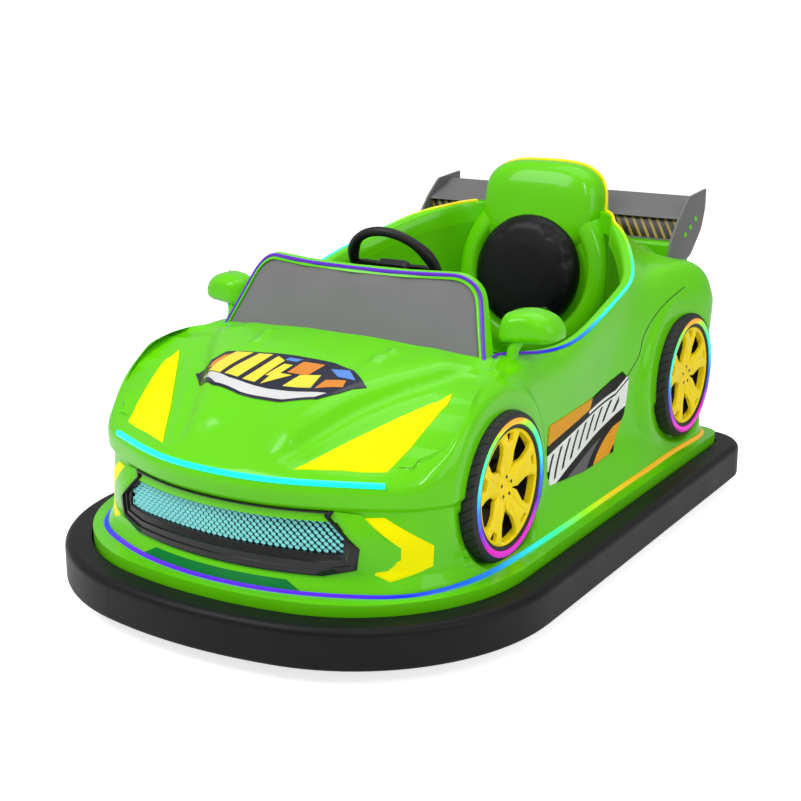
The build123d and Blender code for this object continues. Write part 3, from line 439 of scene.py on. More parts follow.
def tube(points, radius, closed=False, sides=8, resolution=6):
    """A round bead along a smooth line through the points."""
    curve = bpy.data.curves.new("bead", "CURVE")
    curve.dimensions, curve.bevel_depth, curve.bevel_resolution = "3D", radius, sides // 4
    curve.use_fill_caps, curve.resolution_u = not closed, resolution
    line = curve.splines.new("BEZIER")
    line.bezier_points.add(len(points) - 1)
    line.use_cyclic_u = closed
    for knot, place in zip(line.bezier_points, points):
        knot.co = place
        knot.handle_left_type = knot.handle_right_type = "AUTO"
    holder = linked("bead", curve)
    mesh = bpy.data.meshes.new_from_object(holder.evaluated_get(bpy.context.evaluated_depsgraph_get()))
    bm = bmesh.new()
    bm.from_mesh(mesh)
    bpy.data.objects.remove(holder)
    bpy.data.curves.remove(curve)
    bpy.data.meshes.remove(mesh)
    return bm


def joined(parts):
    """One mesh from several."""
    whole = bmesh.new()
    for part in parts:
        mesh = bpy.data.meshes.new("part")
        part.to_mesh(mesh)
        part.free()
        whole.from_mesh(mesh)
        bpy.data.meshes.remove(mesh)
    return whole


def both_sides(bm):
    """The mesh with its mirror image on the car's other side."""
    other = bm.copy()
    bmesh.ops.scale(other, vec=(-1, 1, 1), verts=other.verts)
    bmesh.ops.reverse_faces(other, faces=other.faces)
    return joined([bm, other])


def rounded_block(low, high, radius):
    """A block between two corners with every edge rounded."""
    bm = bmesh.new()
    bmesh.ops.create_cube(bm, size=1)
    for vert in bm.verts:
        vert.co = [low[axis] + (vert.co[axis] + 0.5) * (high[axis] - low[axis]) for axis in range(3)]
    bmesh.ops.bevel(bm, geom=bm.edges[:], offset=radius, segments=4, profile=0.5, affect="EDGES", material=-1)
    return bm


def turned(profile, steps):
    """A profile of (distance along X, radius) corners spun about the X axis."""
    bm = bmesh.new()
    verts = [bm.verts.new((along, 0, radius)) for along, radius in profile]
    edges = [bm.edges.new(pair) for pair in zip(verts, verts[1:])]
    bmesh.ops.spin(bm, geom=verts + edges, cent=(0, 0, 0), axis=(1, 0, 0), angle=2 * math.pi, steps=steps,
                   use_merge=True)
    return bm


def moved(bm, place):
    """The mesh, set down at a place."""
    bmesh.ops.translate(bm, verts=bm.verts, vec=place)
    return bm


def strips(lines, closed=False):
    """Faces between neighbouring lines of places, which are rings where closed."""
    bm = bmesh.new()
    rows = []
    for line in lines:
        verts = [bm.verts.new(place) for place in line]
        ends = verts[1:] + verts[:1] if closed else verts[1:]
        rows.append([bm.edges.new(pair) for pair in zip(verts, ends)])
    for first, second in zip(rows, rows[1:]):
        bmesh.ops.bridge_loops(bm, edges=first + second)
    return bm


def bell(value, width):
    """1 at 0, falling off smoothly on both sides."""
    return math.exp(-(value / width) ** 2)


# ---------------------------------------------------------------- body form
# Each column runs up the shell from the skirt to the rim; a corner is (half width, distance behind the
# ring's middle, height). The columns go round the left half of the car, from the nose to the tail.
columns = [
    [(0, -868, 160), (0, -852, 196), (0, -848, 275), (0, -842, 345), (0, -850, 392),
     (0, -836, 424), (0, -762, 468), (0, -620, 545), (0, -470, 602), (0, -330, 634)],
    [(185, -846, 160), (187, -830, 196), (188, -826, 275), (186, -818, 345), (184, -824, 392),
     (182, -808, 424), (178, -745, 462), (170, -610, 538), (163, -462, 597), (156, -320, 630)],
    [(340, -790, 160), (344, -772, 196), (352, -772, 275), (360, -748, 345), (372, -738, 392),
     (378, -716, 422), (386, -650, 462), (398, -560, 516), (402, -450, 562), (372, -292, 606)],
    [(455, -705, 160), (464, -682, 196), (476, -655, 272), (480, -645, 345), (486, -640, 400),
     (488, -625, 446), (484, -588, 500), (478, -530, 552), (466, -440, 588), (402, -255, 602)],
    [(528, -540, 160), (508, -530, 200), (494, -510, 280), (492, -490, 380), (494, -480, 450),
     (494, -468, 510), (488, -452, 556), (474, -430, 582), (456, -380, 590), (424, -205, 600)],
    [(545, -340, 160), (518, -335, 200), (496, -330, 280), (492, -325, 380), (492, -320, 450),
     (492, -308, 510), (486, -290, 550), (474, -262, 576), (462, -210, 588), (444, -135, 592)],
    [(548, -160, 160), (522, -160, 196), (490, -160, 250), (476, -160, 340), (478, -158, 420),
     (481, -150, 480), (481, -130, 530), (477, -105, 560), (471, -78, 576), (462, -52, 586)],
    [(548, 60, 160), (522, 60, 196), (486, 60, 245), (472, 60, 330), (474, 60, 420),
     (480, 60, 480), (486, 62, 535), (487, 66, 570), (486, 70, 592), (483, 74, 603)],
    [(548, 260, 160), (522, 255, 196), (486, 250, 245), (472, 250, 330), (474, 250, 420),
     (480, 252, 490), (486, 256, 560), (488, 262, 610), (487, 268, 640), (484, 275, 658)],
    [(548, 420, 160), (526, 415, 196), (502, 410, 260), (496, 410, 350), (498, 412, 430),
     (502, 415, 510), (498, 418, 590), (486, 422, 650), (472, 428, 685), (458, 434, 702)],
    [(550, 640, 160), (532, 640, 200), (518, 640, 280), (516, 640, 380), (522, 640, 480),
     (532, 642, 560), (530, 650, 638), (492, 654, 694), (425, 622, 706), (362, 600, 764)],
    [(518, 830, 160), (510, 838, 200), (506, 846, 290), (512, 850, 380), (522, 848, 460),
     (528, 838, 540), (520, 818, 614), (470, 778, 674), (368, 728, 715), (290, 688, 789)],
    [(260, 868, 160), (256, 862, 200), (250, 856, 290), (248, 852, 380), (246, 846, 460),
     (240, 838, 530), (232, 828, 590), (225, 815, 640), (215, 803, 710), (205, 785, 800)],
    [(0, 880, 160), (0, 874, 200), (0, 868, 290), (0, 862, 380), (0, 856, 460),
     (0, 850, 530), (0, 842, 590), (0, 832, 640), (0, 820, 710), (0, 800, 800)],
]
# Steps (inwards, up) over the rim, and over the wider shelf behind the screen.
rim_turn = ((13, 6), (27, 2), (36, -22))
shelf_turn = ((16, 2), (34, 2), (92, -4))
shelf_columns = {0: 1.0, 1: 1.0, 2: 0.75, 3: 0.3, 4: 0.05}  # how much of the shelf these columns have
rim_share = {10: 0.9, 11: 0.55, 12: 0.3, 13: 0.3}  # how far the rim turns in at these columns
tub_floor = 112.0
rim_row = 9


def turned_in(columns):
    """Adds the rim's crown and its inner edge to every column."""
    tops = [Vector(column[-1]) for column in columns]
    for index, column in enumerate(columns):
        before = tops[index - 1] if index else Vector((-tops[1].x, tops[1].y, tops[1].z))
        after = tops[index + 1] if index + 1 < len(tops) else Vector((-tops[-2].x, tops[-2].y, tops[-2].z))
        along = (after - before).to_2d().normalized()
        inward = Vector((-along.y, along.x))
        shelf = shelf_columns.get(index, 0.0)
        top = tops[index]
        for (in_rim, up_rim), (in_shelf, up_shelf) in zip(rim_turn, shelf_turn):
            step = (in_rim + (in_shelf - in_rim) * shelf) * rim_share.get(index, 1.0)
            rise = up_rim + (up_shelf - up_rim) * shelf
            column.append((top.x + inward.x * step, top.y + inward.y * step, top.z + rise))
    return columns


def fitted(points):
    """Cage corners whose smooth skin passes through the given points; columns go round, rows end."""
    count, rows = points.shape[:2]
    steps = ((-1, 1), (0, 4), (1, 1))
    round_weights = sum(np.roll(np.eye(count), turn, 1) * weight for turn, weight in steps) / 6
    along_weights = np.eye(rows)
    for row in range(1, rows - 1):
        along_weights[row, row - 1: row + 2] = np.array((1, 4, 1)) / 6
    corners = np.linalg.solve(round_weights, points.reshape(count, -1)).reshape(points.shape)
    return np.einsum("jk,nkc->njc", np.linalg.inv(along_weights), corners)


def spline(t):
    """How much each of four neighbouring corners weighs, t of the way between the middle two."""
    second, third = 3 * t ** 3 - 6 * t ** 2 + 4, -3 * t ** 3 + 3 * t ** 2 + 3 * t + 1
    return np.array(((1 - t) ** 3, second, third, t ** 3)) / 6


def skin_point(corners, u, v):
    """A point of the smooth skin; u counts columns, v counts rows."""
    count, rows = corners.shape[:2]
    row, column = min(int(v), rows - 2), int(math.floor(u))
    pick = [(column - 1 + step) % count for step in range(4)]
    wide = (spline(u - column) @ corners[pick].reshape(4, -1)).reshape(rows, 3)
    extended = np.vstack((2 * wide[0] - wide[1], wide, 2 * wide[-1] - wide[-2]))
    return spline(v - row) @ extended[row: row + 4]


def smooth_max(a, b, soft):
    """The larger of two values, with a soft change over."""
    gap = max(soft - abs(a - b), 0.0) / soft
    return max(a, b) + gap * gap * soft * 0.25


def ease(value, start, end):
    """0 before start, 1 after end, and a smooth step between."""
    share = min(max((value - start) / (end - start), 0.0), 1.0)
    return share * share * (3 - 2 * share)


def from_line(x, y, line):
    """Distance from a plan line, positive on its outer side, and the nearest place's share of its length."""
    best, side, share = math.inf, 1, 0.0
    for index, ((x0, y0), (x1, y1)) in enumerate(zip(line, line[1:])):
        run_x, run_y = x1 - x0, y1 - y0
        t = ((x - x0) * run_x + (y - y0) * run_y) / (run_x * run_x + run_y * run_y)
        t = min(max(t, 0.0), 1.0)
        gap_x, gap_y = x - x0 - run_x * t, y - y0 - run_y * t
        gap = math.hypot(gap_x, gap_y)
        if gap < best:
            best, share = gap, (index + t) / (len(line) - 1)
            side = 1 if run_y * gap_x > run_x * gap_y else -1
    return best * side, share


# Each show wheel's middle and the place of its outer face: (distance, height, half width).
wheel_places = {"front": (-395, 338, 524), "rear": (660, 374, 552)}
# Half width of each fender's face, and its reach from the wheel's middle.
fender_face = {"front": (495, 238), "rear": (516, 252)}
bonnet_crease = ((126, -790), (169, -686), (212, -600), (279, -495), (330, -417), (385, -325))
bonnet_rib = ((196, -340), (182, -400), (172, -476))
lamp_crease = ((180, -806), (247, -692), (313, -592), (410, -450))
fender_start = 380  # the fenders and the sill are shaped beyond this half width
lip_row, bonnet_row = 4.2, 5.0  # the bumper's face ends at one row, the bonnet's top starts at the other
nose_centre, tuck_depth = -330, 11  # the nose's face is set back towards this place


def fendered(x, distance, z):
    """The bulge over each show wheel, with a proud lip, a hollow outside it and the well behind the wheel."""
    for end, (centre, height, outer) in wheel_places.items():
        face, reach = fender_face[end]
        away = math.hypot(distance - centre, z - height)
        if away < reach + 60 and x > fender_start:
            fall = min(max((away - reach + 24) / 44, 0.0), 1.6)
            x = smooth_max(x, face + 5 - 30 * fall * fall, 10)
            lip = 5 * bell(away - reach + 14, 18) - 4 * bell(away - reach - 20, 18)
            lip *= ease(x, 400, 450) * ease(z, 340, 440)
            distance += lip * (distance - centre) / away
            z += lip * (z - height) / away
            x -= max(x - outer + 62, 0) * (1 - ease(away, 146, 172))
    return x, distance, z


def creased(x, distance, z):
    """The bonnet's height with its long creases, its ribs and the grooves beside the lamps."""
    def along(share, start, end):
        return ease(share, 0.0, start) * (1 - ease(share, end, 1.0))

    gap, share = from_line(x, distance, bonnet_crease)
    step = 15 * (1 - ease(gap, -14, 9)) * (1 - ease(-gap, 34, 150)) - 8 * bell(gap - 16, 14)
    z += step * along(share, 0.12, 0.86)
    gap, share = from_line(x, distance, lamp_crease)
    z -= 6 * bell(gap + 9, 7) * along(share, 0.15, 0.9)
    gap, share = from_line(x, distance, bonnet_rib)
    return z + 11 * bell(gap, 9) * along(share, 0.2, 0.75)


def tucked(x, distance, z):
    """The bumper's face, set back under the band that carries the nose light."""
    tuck = (1 - ease(z, 350, 364)) * ease(z, 170, 215)
    out = Vector((x, distance - nose_centre)).normalized()
    return x - out.x * tuck_depth * tuck, distance - out.y * tuck_depth * tuck


def cut_back(x, distance, z):
    """The flared sill's half width, cut back behind each wheel."""
    for centre, height, outer in wheel_places.values():
        pocket = (1 - ease(math.hypot(distance - centre, z - height), 186, 200)) * ease(z, 168, 178)
        x += (min(x, outer - 40) - x) * pocket
    return x


def shaped(x, distance, z, v):
    """The skin with its fenders, bonnet creases, nose step and wheel pockets."""
    side = 1 if x >= 0 else -1
    x = abs(x)
    if v < rim_row - 0.5:
        x, distance, z = fendered(x, distance, z)
    if bonnet_row < v < rim_row and distance < -300:
        z = creased(x, distance, z)
    if v < lip_row and distance < -560:
        x, distance = tucked(x, distance, z)
    if z < 330 and x > fender_start:
        x = cut_back(x, distance, z)
    return at(side * x, distance, z)


half_car = np.array(turned_in(columns), float)
cage = fitted(np.concatenate((half_car, half_car[1:-1][::-1] * (-1, 1, 1))))
around, rows = cage.shape[:2]
rear_column = 8.55  # the shells meet here
shell_end, wall_end = 12.1, 14  # the rows where the shells and the tub's walls end
seam_rows = (0, 3, 4, 4.3, 4.7, 5.3, 5.6, 5.8, 6, 9)
seam_shifts = (-0.2, -0.1, 0.0, 0.13, 0.35, 0.45, 0.65, 0.95, 1.4, 1.55)


def seam_shift(v):
    """The joint between the front and rear shells leans back as it climbs."""
    return float(np.interp(v, seam_rows, seam_shifts))


def body_point(u, v):
    """The body's surface: the skin up to the rim and over it, then straight down the tub's wall."""
    drop = max(v - rows + 1, 0) / 2
    x, distance, z = skin_point(cage, u % around, min(v, rows - 1))
    if drop:
        x *= 1 - 0.03 * drop
        distance += (260 - distance) * 0.03 * drop
        z += (tub_floor - z) * drop
    return shaped(x, distance, z, v)


def shell_part(first, last, columns_across, rows_up, low, high):
    """A stretch of the body's skin between two columns and two rows, each column bent as the joint is."""
    def place(s, t):
        v = low + t * (high - low)
        shift = seam_shift(v) * (1 if first < 0 else -1)
        u = (first + last) / 2 + (s - 0.5) * 2 * ((last - first) / 2 + shift)
        return body_point(u, v)
    return grid(columns_across, rows_up, place)


front_span, rear_span = (-rear_column, rear_column), (rear_column, around - rear_column)
front = shell_part(*front_span, 340, 170, 0, shell_end)
rear = shell_part(*rear_span, 130, 130, 0, shell_end)
tub = joined([shell_part(*span, count, 12, shell_end, wall_end)
              for span, count in ((front_span, 90), (rear_span, 60))])
front_skin, rear_skin = BVHTree.FromBMesh(front), BVHTree.FromBMesh(rear)
both_skins = joined([front.copy(), rear.copy()])
whole_skin = BVHTree.FromBMesh(both_skins)
both_skins.free()


def in_grille(face):
    """Whether a face of the front shell lies in the grille's opening."""
    x, y, z = face.calc_center_median()
    return y < at(0, -700, 0).y and abs(x) < 318 - 0.55 * max(z - 290, 0) and 224 < z < 328


bmesh.ops.delete(front, geom=[face for face in front.faces if in_grille(face)], context="FACES")
add_piece("front_body_shell", front, replaced=("front_shell", "side_panel_left", "side_panel_right"))
add_piece("rear_body_shell", rear, replaced=("rear_shell",))
# the tub's walls take the lime with painted shade
add_piece("tub_walls", tub, tub_green_painted_shade)


def joint_line(side):
    """The dark line where the shells meet, on one side of the car."""
    rows_up = np.linspace(3.5, 6.0, 14)
    return tube([body_point(side * (rear_column + seam_shift(v)) % around, v) for v in rows_up], 1.3)


add_piece("shell_joint", joined([joint_line(1), joint_line(-1)]), joint_green)


# Where rays start, clear of the car.
start_above, start_ahead, start_aside, start_behind = 1200, -1200, 900, 1500


def onto(skin, origin, way, lift):
    """Where a line meets the skin, moved off it by lift."""
    place, normal, _, _ = skin.ray_cast(Vector(origin), Vector(way))
    if place is None:
        place, normal, _, _ = skin.find_nearest(Vector(origin))
    if normal.dot(Vector(way)) > 0:
        normal = -normal
    return place + normal * lift


def from_above(skin, sink=0.0):
    """Places (x, distance) straight down onto a skin."""
    return lambda x, distance, rise: onto(skin, at(x, distance, start_above), (0, 0, -1), rise - sink)


def from_ahead(skin, sink=0.0):
    """Places (x, height) straight back onto a skin."""
    return lambda x, z, rise: onto(skin, at(x, start_ahead, z), (0, 1, 0), rise - sink)


def from_side(skin):
    """Places (distance, height) onto the left side of a skin."""
    return lambda distance, z, rise: onto(skin, at(start_aside, distance, z), (-1, 0, 0), rise)


def leaning(centre, lean, way):
    """Places (across, up, rise) on a face that leans back by degrees and looks ahead (1) or behind (-1)."""
    lean = math.radians(lean)
    up = Vector((0, way * math.sin(lean), math.cos(lean)))
    out = Vector((0, -way * math.cos(lean), math.sin(lean)))
    return lambda x, along, rise: centre + Vector((x, 0, 0)) + up * along + out * rise


def mirrored(half):
    """A closed outline from its half at positive x, whose first corner is on the middle line."""
    return half + [(-x, z) for x, z in half[:0:-1]]


# ---------------------------------------------------------------- lamps and nose
nose_middle, nose_round = (150, -400), 400  # the rounded corner of the nose, seen from above
headlight_corners = [(189, -787), (222, -735), (262, -668), (313, -592), (358, -525), (402, -462),
                     (411, -505), (404, -560), (392, -630), (373, -698), (328, -722), (280, -743),
                     (232, -767)]
# corners as (turn round the corner of the nose in degrees, height)
arrow_corners = [(29.4, 334), (35.7, 336), (51.6, 263), (51.2, 220), (37.2, 195), (32.4, 211),
                 (40.7, 239), (40.7, 271)]
cheek_corners = [(19.6, 339), (28.6, 333), (37.6, 266), (38.0, 228), (32.6, 213), (26.7, 215), (27.9, 273)]


def round_corner(sink):
    """Places (length round the nose's corner, height) on the front skin."""
    def place(length, z, rise):
        angle = length / nose_round
        away = Vector((math.sin(angle), -math.cos(angle), 0))
        return onto(front_skin, at(*nose_middle, z) + away * 900, -away, rise - sink)
    return place


def flat_plan(corners):
    """Corners given in degrees round the nose's corner, as lengths round it."""
    return [(math.radians(turn) * nose_round, z) for turn, z in corners]


headlights = both_sides(laid(pillow(headlight_corners, 6, 1.5, step=12), from_above(front_skin, 3)))
add_piece("headlight_lenses", headlights, yellow, "lamp_yellow", replaced=("headlights",))
arrows = both_sides(laid(pillow(flat_plan(arrow_corners), 8, 1.5, step=6), round_corner(2)))
add_piece("arrow_lenses", arrows, yellow, "lamp_yellow", replaced=("arrow_lights",))
cheeks = both_sides(laid(pillow(flat_plan(cheek_corners), 20, 3, step=8), round_corner(5)))
add_piece("cheek_facets", cheeks)
patch_corners = [(-236, 163), (-188, 188), (188, 188), (236, 163)]
patch = laid(pillow(patch_corners, 4, 0.8, step=14), from_ahead(front_skin, 1.5))
add_piece("nose_patch", patch, dark_green)

surround_corners = mirrored([(0, 352), (283, 352), (276, 338), (344, 272), (337, 222), (268, 205)])
inner_corners = mirrored([(0, 341), (250, 341), (254, 340), (305, 294), (305, 259), (246, 254)])
mesh_corners = mirrored([(0, 341), (252, 341), (305, 294), (305, 259), (246, 254)])
side_cuts = (16, 2, 6, 4, 4)
# (share of the way from the outer to the inner outline, depth)
moulding_steps = ((0, 6), (0, -5), (0.06, -7), (0.3, -7), (0.34, -2), (0.6, -1), (0.64, 4), (0.93, 7),
                  (0.97, 10), (1, 24))


def nose_place(x, z, depth):
    """A place behind the bumper face, by its depth."""
    return from_ahead(front_skin)(x, z, 0) + Vector((0, depth, 0))


def cut_sides(corners):
    """Corner by corner, each side of a nose outline cut into its number of stretches."""
    places = [Vector(corner) for corner in corners]
    spread = []
    for start, end, count in zip(places, places[1:] + places[:1], side_cuts + (30,) + side_cuts[::-1]):
        spread += [start.lerp(end, step / count) for step in range(count)]
    return spread


outline_pairs = list(zip(cut_sides(surround_corners), cut_sides(inner_corners)))
moulding = strips([[nose_place(*outer.lerp(inner, share), depth) for outer, inner in outline_pairs]
                   for share, depth in moulding_steps], closed=True)
add_piece("grille_moulding", moulding, gloss_black, "grille_black", replaced=("grille_surround",), sharp=25)
backing = laid(outline(mesh_corners, step=24), lambda x, z, rise: nose_place(x, z, 20))
add_piece("grille_backing", backing, dark_teal, "grille_blue", replaced=("grille_mesh",))


dot_pitch, dot_row, dot_radius = 16.6, 7.9, 7.2


def hex_dot(spot):
    """A six-sided dome that faces forwards."""
    dot = bmesh.new()
    bmesh.ops.create_circle(dot, cap_ends=True, segments=6, radius=dot_radius)
    bmesh.ops.scale(dot, vec=(1, 0.7, 1), verts=dot.verts)
    for rise, step in ((1.6, 1.4), (0.8, 2.4)):
        top = max(dot.faces, key=lambda face: len(face.verts) * 10 - face.index)
        bmesh.ops.inset_region(dot, faces=[top], thickness=step, depth=rise)
    return laid(dot, lambda x, y, z: spot + Vector((x, -abs(z), y)))


def hex_dots():
    """Staggered rows of domes that fill the grille's opening."""
    dots = []
    for row in range(11):
        for column in range(-19, 20):
            x, z = (column + row % 2 / 2) * dot_pitch, 258.5 + row * dot_row
            if abs(x) < 302 - max(z - 292, 0) * 1.12 and (abs(x) < 250 or z > 258):
                dots.append(hex_dot(nose_place(x, z, 18)))
    return joined(dots)


# the grille's dots and bead carry a painted glow
add_piece("grille_dots", hex_dots(), cyan_dots_painted_glow, "grille_blue", merge=0)
grille_bead = tube([nose_place(x, z, 14) for x, z in mesh_corners[1:4]], 1.6, sides=4)
add_piece("grille_bead", both_sides(grille_bead), cyan_dots_painted_glow, "grille_blue")


step_u, step_v = 0.03, 0.05  # small steps that give the skin's slope


def skin_line(u_values, v, out):
    """Places along the body at a height row, moved outwards."""
    line = []
    for u in u_values:
        here, ahead, above = body_point(u, v), body_point(u + step_u, v), body_point(u, v + step_v)
        normal = (ahead - here).cross(above - here).normalized()
        line.append(here + normal * out)
    return line


nose_line = [from_ahead(front_skin)(x, 417 - 5 * (abs(x) / 380) ** 2, 1.0)
             for x in np.linspace(-384, 384, 49)]
add_piece("nose_light", tube(nose_line, 7.5, resolution=2), nose_glow, "light_strip",
          replaced=("nose_light_strip",))

skirt_line = skin_line(np.linspace(0, around, 260)[:-1], 0.16, 2)
plugs = rounded_block(at(462, -474, 150), at(583, -316, 165.8), 1.5)
add_piece("skirt_filler", both_sides(plugs))
add_piece("skirt_light", tube(skirt_line, 7.5, closed=True, resolution=2), skirt_glow, "light_strip",
          replaced=("skirt_light_strip",))

tail_corners = [(262, 478), (398, 478), (398, 526), (292, 526)]
lamp = laid(pillow(tail_corners, 8, 3, rounding=(10, 10, 10, 10), step=20),
            lambda x, z, rise: onto(rear_skin, at(x, start_behind, z), (0, -1, 0), rise - 3))
add_piece("tail_lamp_lenses", both_sides(lamp), red, "lamp_red", replaced=("tail_lights",))

# ---------------------------------------------------------------- decals
side_corners = [(-103, 405), (30, 409), (166, 415), (240, 432), (318, 452), (352, 428), (346, 370),
                (337, 330), (300, 285), (265, 240), (170, 236), (72, 237), (-30, 246), (-117, 254)]
decal = laid(pillow(side_corners, 3, 0.6, step=7, rings=1, mapped=True), from_side(whole_skin))
add_piece("side_decals", both_sides(decal), side_print, merge=0)

# A plain emblem in thin layers on the bonnet: a dark lens with speed bars.
emblem_shift = 12  # it lies this far to the driver's right of the middle line
emblem_layers = (
    ("base", navy, 1.0, [
        [(-262, -556), (-222, -530), (-205, -500), (-120, -484), (0, -478), (110, -484), (170, -500),
         (236, -548), (210, -566), (190, -590), (150, -625), (60, -644), (-60, -646), (-150, -632),
         (-215, -600), (-240, -575)]]),
    ("white", white, 1.6, [
        [(-214, -585), (-190, -583), (-120, -604), (0, -612), (110, -606), (160, -602), (140, -620),
         (60, -636), (-60, -638), (-146, -624)]]),
    ("orange", amber, 1.6, [
        [(-222, -560), (-200, -520), (-186, -512), (-198, -566)],
        [(120, -590), (186, -572), (180, -548), (128, -556)],
        [(26, -500), (88, -500), (70, -548), (12, -548)]]),
    ("blue", sky_blue, 1.6, [
        [(112, -510), (160, -504), (200, -540), (150, -538)],
        [(-20, -492), (18, -492), (8, -504), (-26, -504)]]),
    ("yellow", bright, 2.0, [
        [(-176, -500), (-130, -492), (-158, -590), (-206, -576)],
        [(-112, -492), (-72, -490), (-100, -596), (-142, -592)],
        [(-52, -494), (-24, -508), (-48, -598), (-84, -598)],
        [(-16, -520), (8, -520), (-4, -556), (30, -556), (-30, -600), (-24, -570), (-36, -570)],
        [(52, -552), (104, -540), (108, -590), (32, -596)]]),
)
for name, finish, lift, shapes in emblem_layers:
    place = from_above(front_skin, 0.3 - lift * 1.3)
    shapes = [[(x - emblem_shift, distance) for x, distance in shape] for shape in shapes]
    sheets = [laid(pillow(shape, 1.0, 0.3, step=9, rings=1), place) for shape in shapes]
    add_piece("emblem_" + name, joined(sheets), finish, merge=0)

# ---------------------------------------------------------------- windscreen
screen_half, screen_top, screen_foot = 384, 778, 636
screen_lean = 0.444  # backwards for each millimetre up


def foot_height(x):
    """The screen's lower edge, which drops towards its ends."""
    return screen_foot - 36 * (x / screen_half) ** 2


def screen_place(x, z, rise):
    """The bowed windscreen, leaning back as it rises; its frame is thinner along the top."""
    height = z - foot_height(x)
    climb = min(max(height / 150, 0), 1)
    bow = (45 + 42 * climb) * (x / screen_half) ** 2
    rise = max(rise, rise * (1 - 0.65 * climb))
    return at(x, -330 + screen_lean * height + bow - rise, z)


screen_edge = [(-screen_half + 6, foot_height(screen_half) - 10), (-312, screen_top), (312, screen_top),
               (screen_half - 6, foot_height(screen_half) - 10)]
foot_line = [(x, foot_height(x) - 12) for x in np.linspace(screen_half - 40, -screen_half + 40, 15)]
panel = laid(pillow(screen_edge + foot_line, 3, 1.0, rounding=(0, 58, 58), step=26, rings=1), screen_place)
add_piece("windscreen_panel", panel, screen_grey, "screen_grey", replaced=("windscreen",))


def screen_border(out):
    """Half of the windscreen's top and side edge, from its foot to its middle, moved outwards."""
    line = [Vector((screen_half + 2 + out, foot_height(screen_half) - 12)), Vector((362 + out, 652))]
    for angle in np.radians(np.linspace(20, 90, 9)):
        line.append(Vector((260 + (80 + out) * math.cos(angle), 698 + (80 + out) * math.sin(angle))))
    line += [Vector((150, screen_top + out)), Vector((0, screen_top + out + 1))]
    return line


# The frame's section, from the panel's front over the rim to the back: (offset outwards, rise).
frame_section = ((-5, -1), (-3, 9), (1, 9), (6, 6), (10, -2), (12, -34), (6, -40), (-5, -40))
frame_half = strips([[screen_place(*spot, rise) for spot in screen_border(out)]
                     for out, rise in frame_section])
add_piece("windscreen_surround", both_sides(frame_half), replaced=("windscreen_frame",), sharp=50)
screen_bead = tube([screen_place(*spot, 5) for spot in screen_border(6)], 5.5, resolution=4)
add_piece("screen_light", both_sides(screen_bead), screen_glow, "light_strip")


# ---------------------------------------------------------------- dash pod
pod_width = 250


def pod_place(u, v):
    """The hood over the dash: a hump in its middle that falls off to both sides and to the back."""
    x = (u - 0.5) * pod_width
    hump = 1 - ease(abs(x), 70, 125)
    arch = math.sin(math.pi * min(v * 1.15, 1.0)) ** 0.5 if v < 0.87 else 0.0
    return at(x, -318 + 108 * v - 10 * (1 - hump) * v, 634 + (62 * hump) * arch - 12 * (1 - hump) - 14 * v)


add_piece("dash_pod", grid(36, 24, pod_place), replaced=("dash_panel",))

# ---------------------------------------------------------------- seat back
back_place = leaning(at(0, 716, 614), 10, 1)  # from the pad's middle


def nest_place(rise, x, up):
    """The raised nest: a ring squeezed at its sides, and cut straight where the pad's edges are."""
    reach = math.hypot(x, up)
    squeeze = 1 - 0.14 * ease(reach, 250, 330) * abs(x) / reach
    side_limit = 268 - 0.34 * max(up, 0)
    return back_place(min(max(x * squeeze, -side_limit), side_limit), up, rise)


nest_profile = [(-96, 312), (-74, 298), (-52, 284), (-32, 267), (-16, 254), (-4, 244), (3, 232), (7, 218),
                (8, 205), (6, 196), (0, 190), (-7, 184), (-8, 176), (-8, 0.01)]
nest = laid(turned(nest_profile, 128), nest_place)

head_middle, head_half, head_up, head_square = 200, 198, 141, 3.2
head_profile = [(-90, 0.01), (-90, 60), (-86, 90), (-74, 97), (-54, 100), (-34, 99.4), (-16, 97.2), (0, 92.5),
                (12, 85), (20, 75), (26, 61), (29, 42), (30, 20), (30, 0.01)]


def head_reach(angle):
    """Distance from the headrest's middle to its rounded outline."""
    across, up = abs(math.cos(angle)) / head_half, abs(math.sin(angle)) / head_up
    return (across ** head_square + up ** head_square) ** (-1 / head_square)


def round_head(angle, reach, rise):
    """A place on the seat back's face, by its turn and distance from the headrest's middle."""
    return back_place(reach * math.cos(angle), head_middle + reach * math.sin(angle), rise)


def head_place(rise, x, up):
    """The headrest: a round profile stretched to its outline, where 100 is the outline itself."""
    angle = math.atan2(up, x)
    return round_head(angle, head_reach(angle) * math.hypot(x, up) / 100, rise - 8)


head = laid(turned(head_profile, 128), head_place)
shoulders = grid(40, 20, lambda u, v: back_place(-300 + 600 * u, -284 + 330 * v, -60))
add_piece("seat_nest", joined([nest, head, shoulders]), replaced=("seat_back",))

rim_path = skin_line(np.linspace(2.42, 11.86, 120), rim_row + 0.25, 1.0)
over_head = [round_head(angle, head_reach(angle) + 3, -62) for angle in np.linspace(-0.1, math.pi / 2, 24)]
add_piece("rim_light", both_sides(tube(rim_path + over_head, 4.5, resolution=3)), rim_glow, "light_strip",
          replaced=("rim_light_strip",))


# ---------------------------------------------------------------- padded pieces
def applied(thing, kind, **settings):
    """Adds a modifier with its settings and applies it."""
    modifier = thing.modifiers.new(kind.lower(), kind)
    for key, value in settings.items():
        setattr(modifier, key, value)
    bpy.ops.object.modifier_apply(modifier=modifier.name)


stuffing_pressure = 4.0


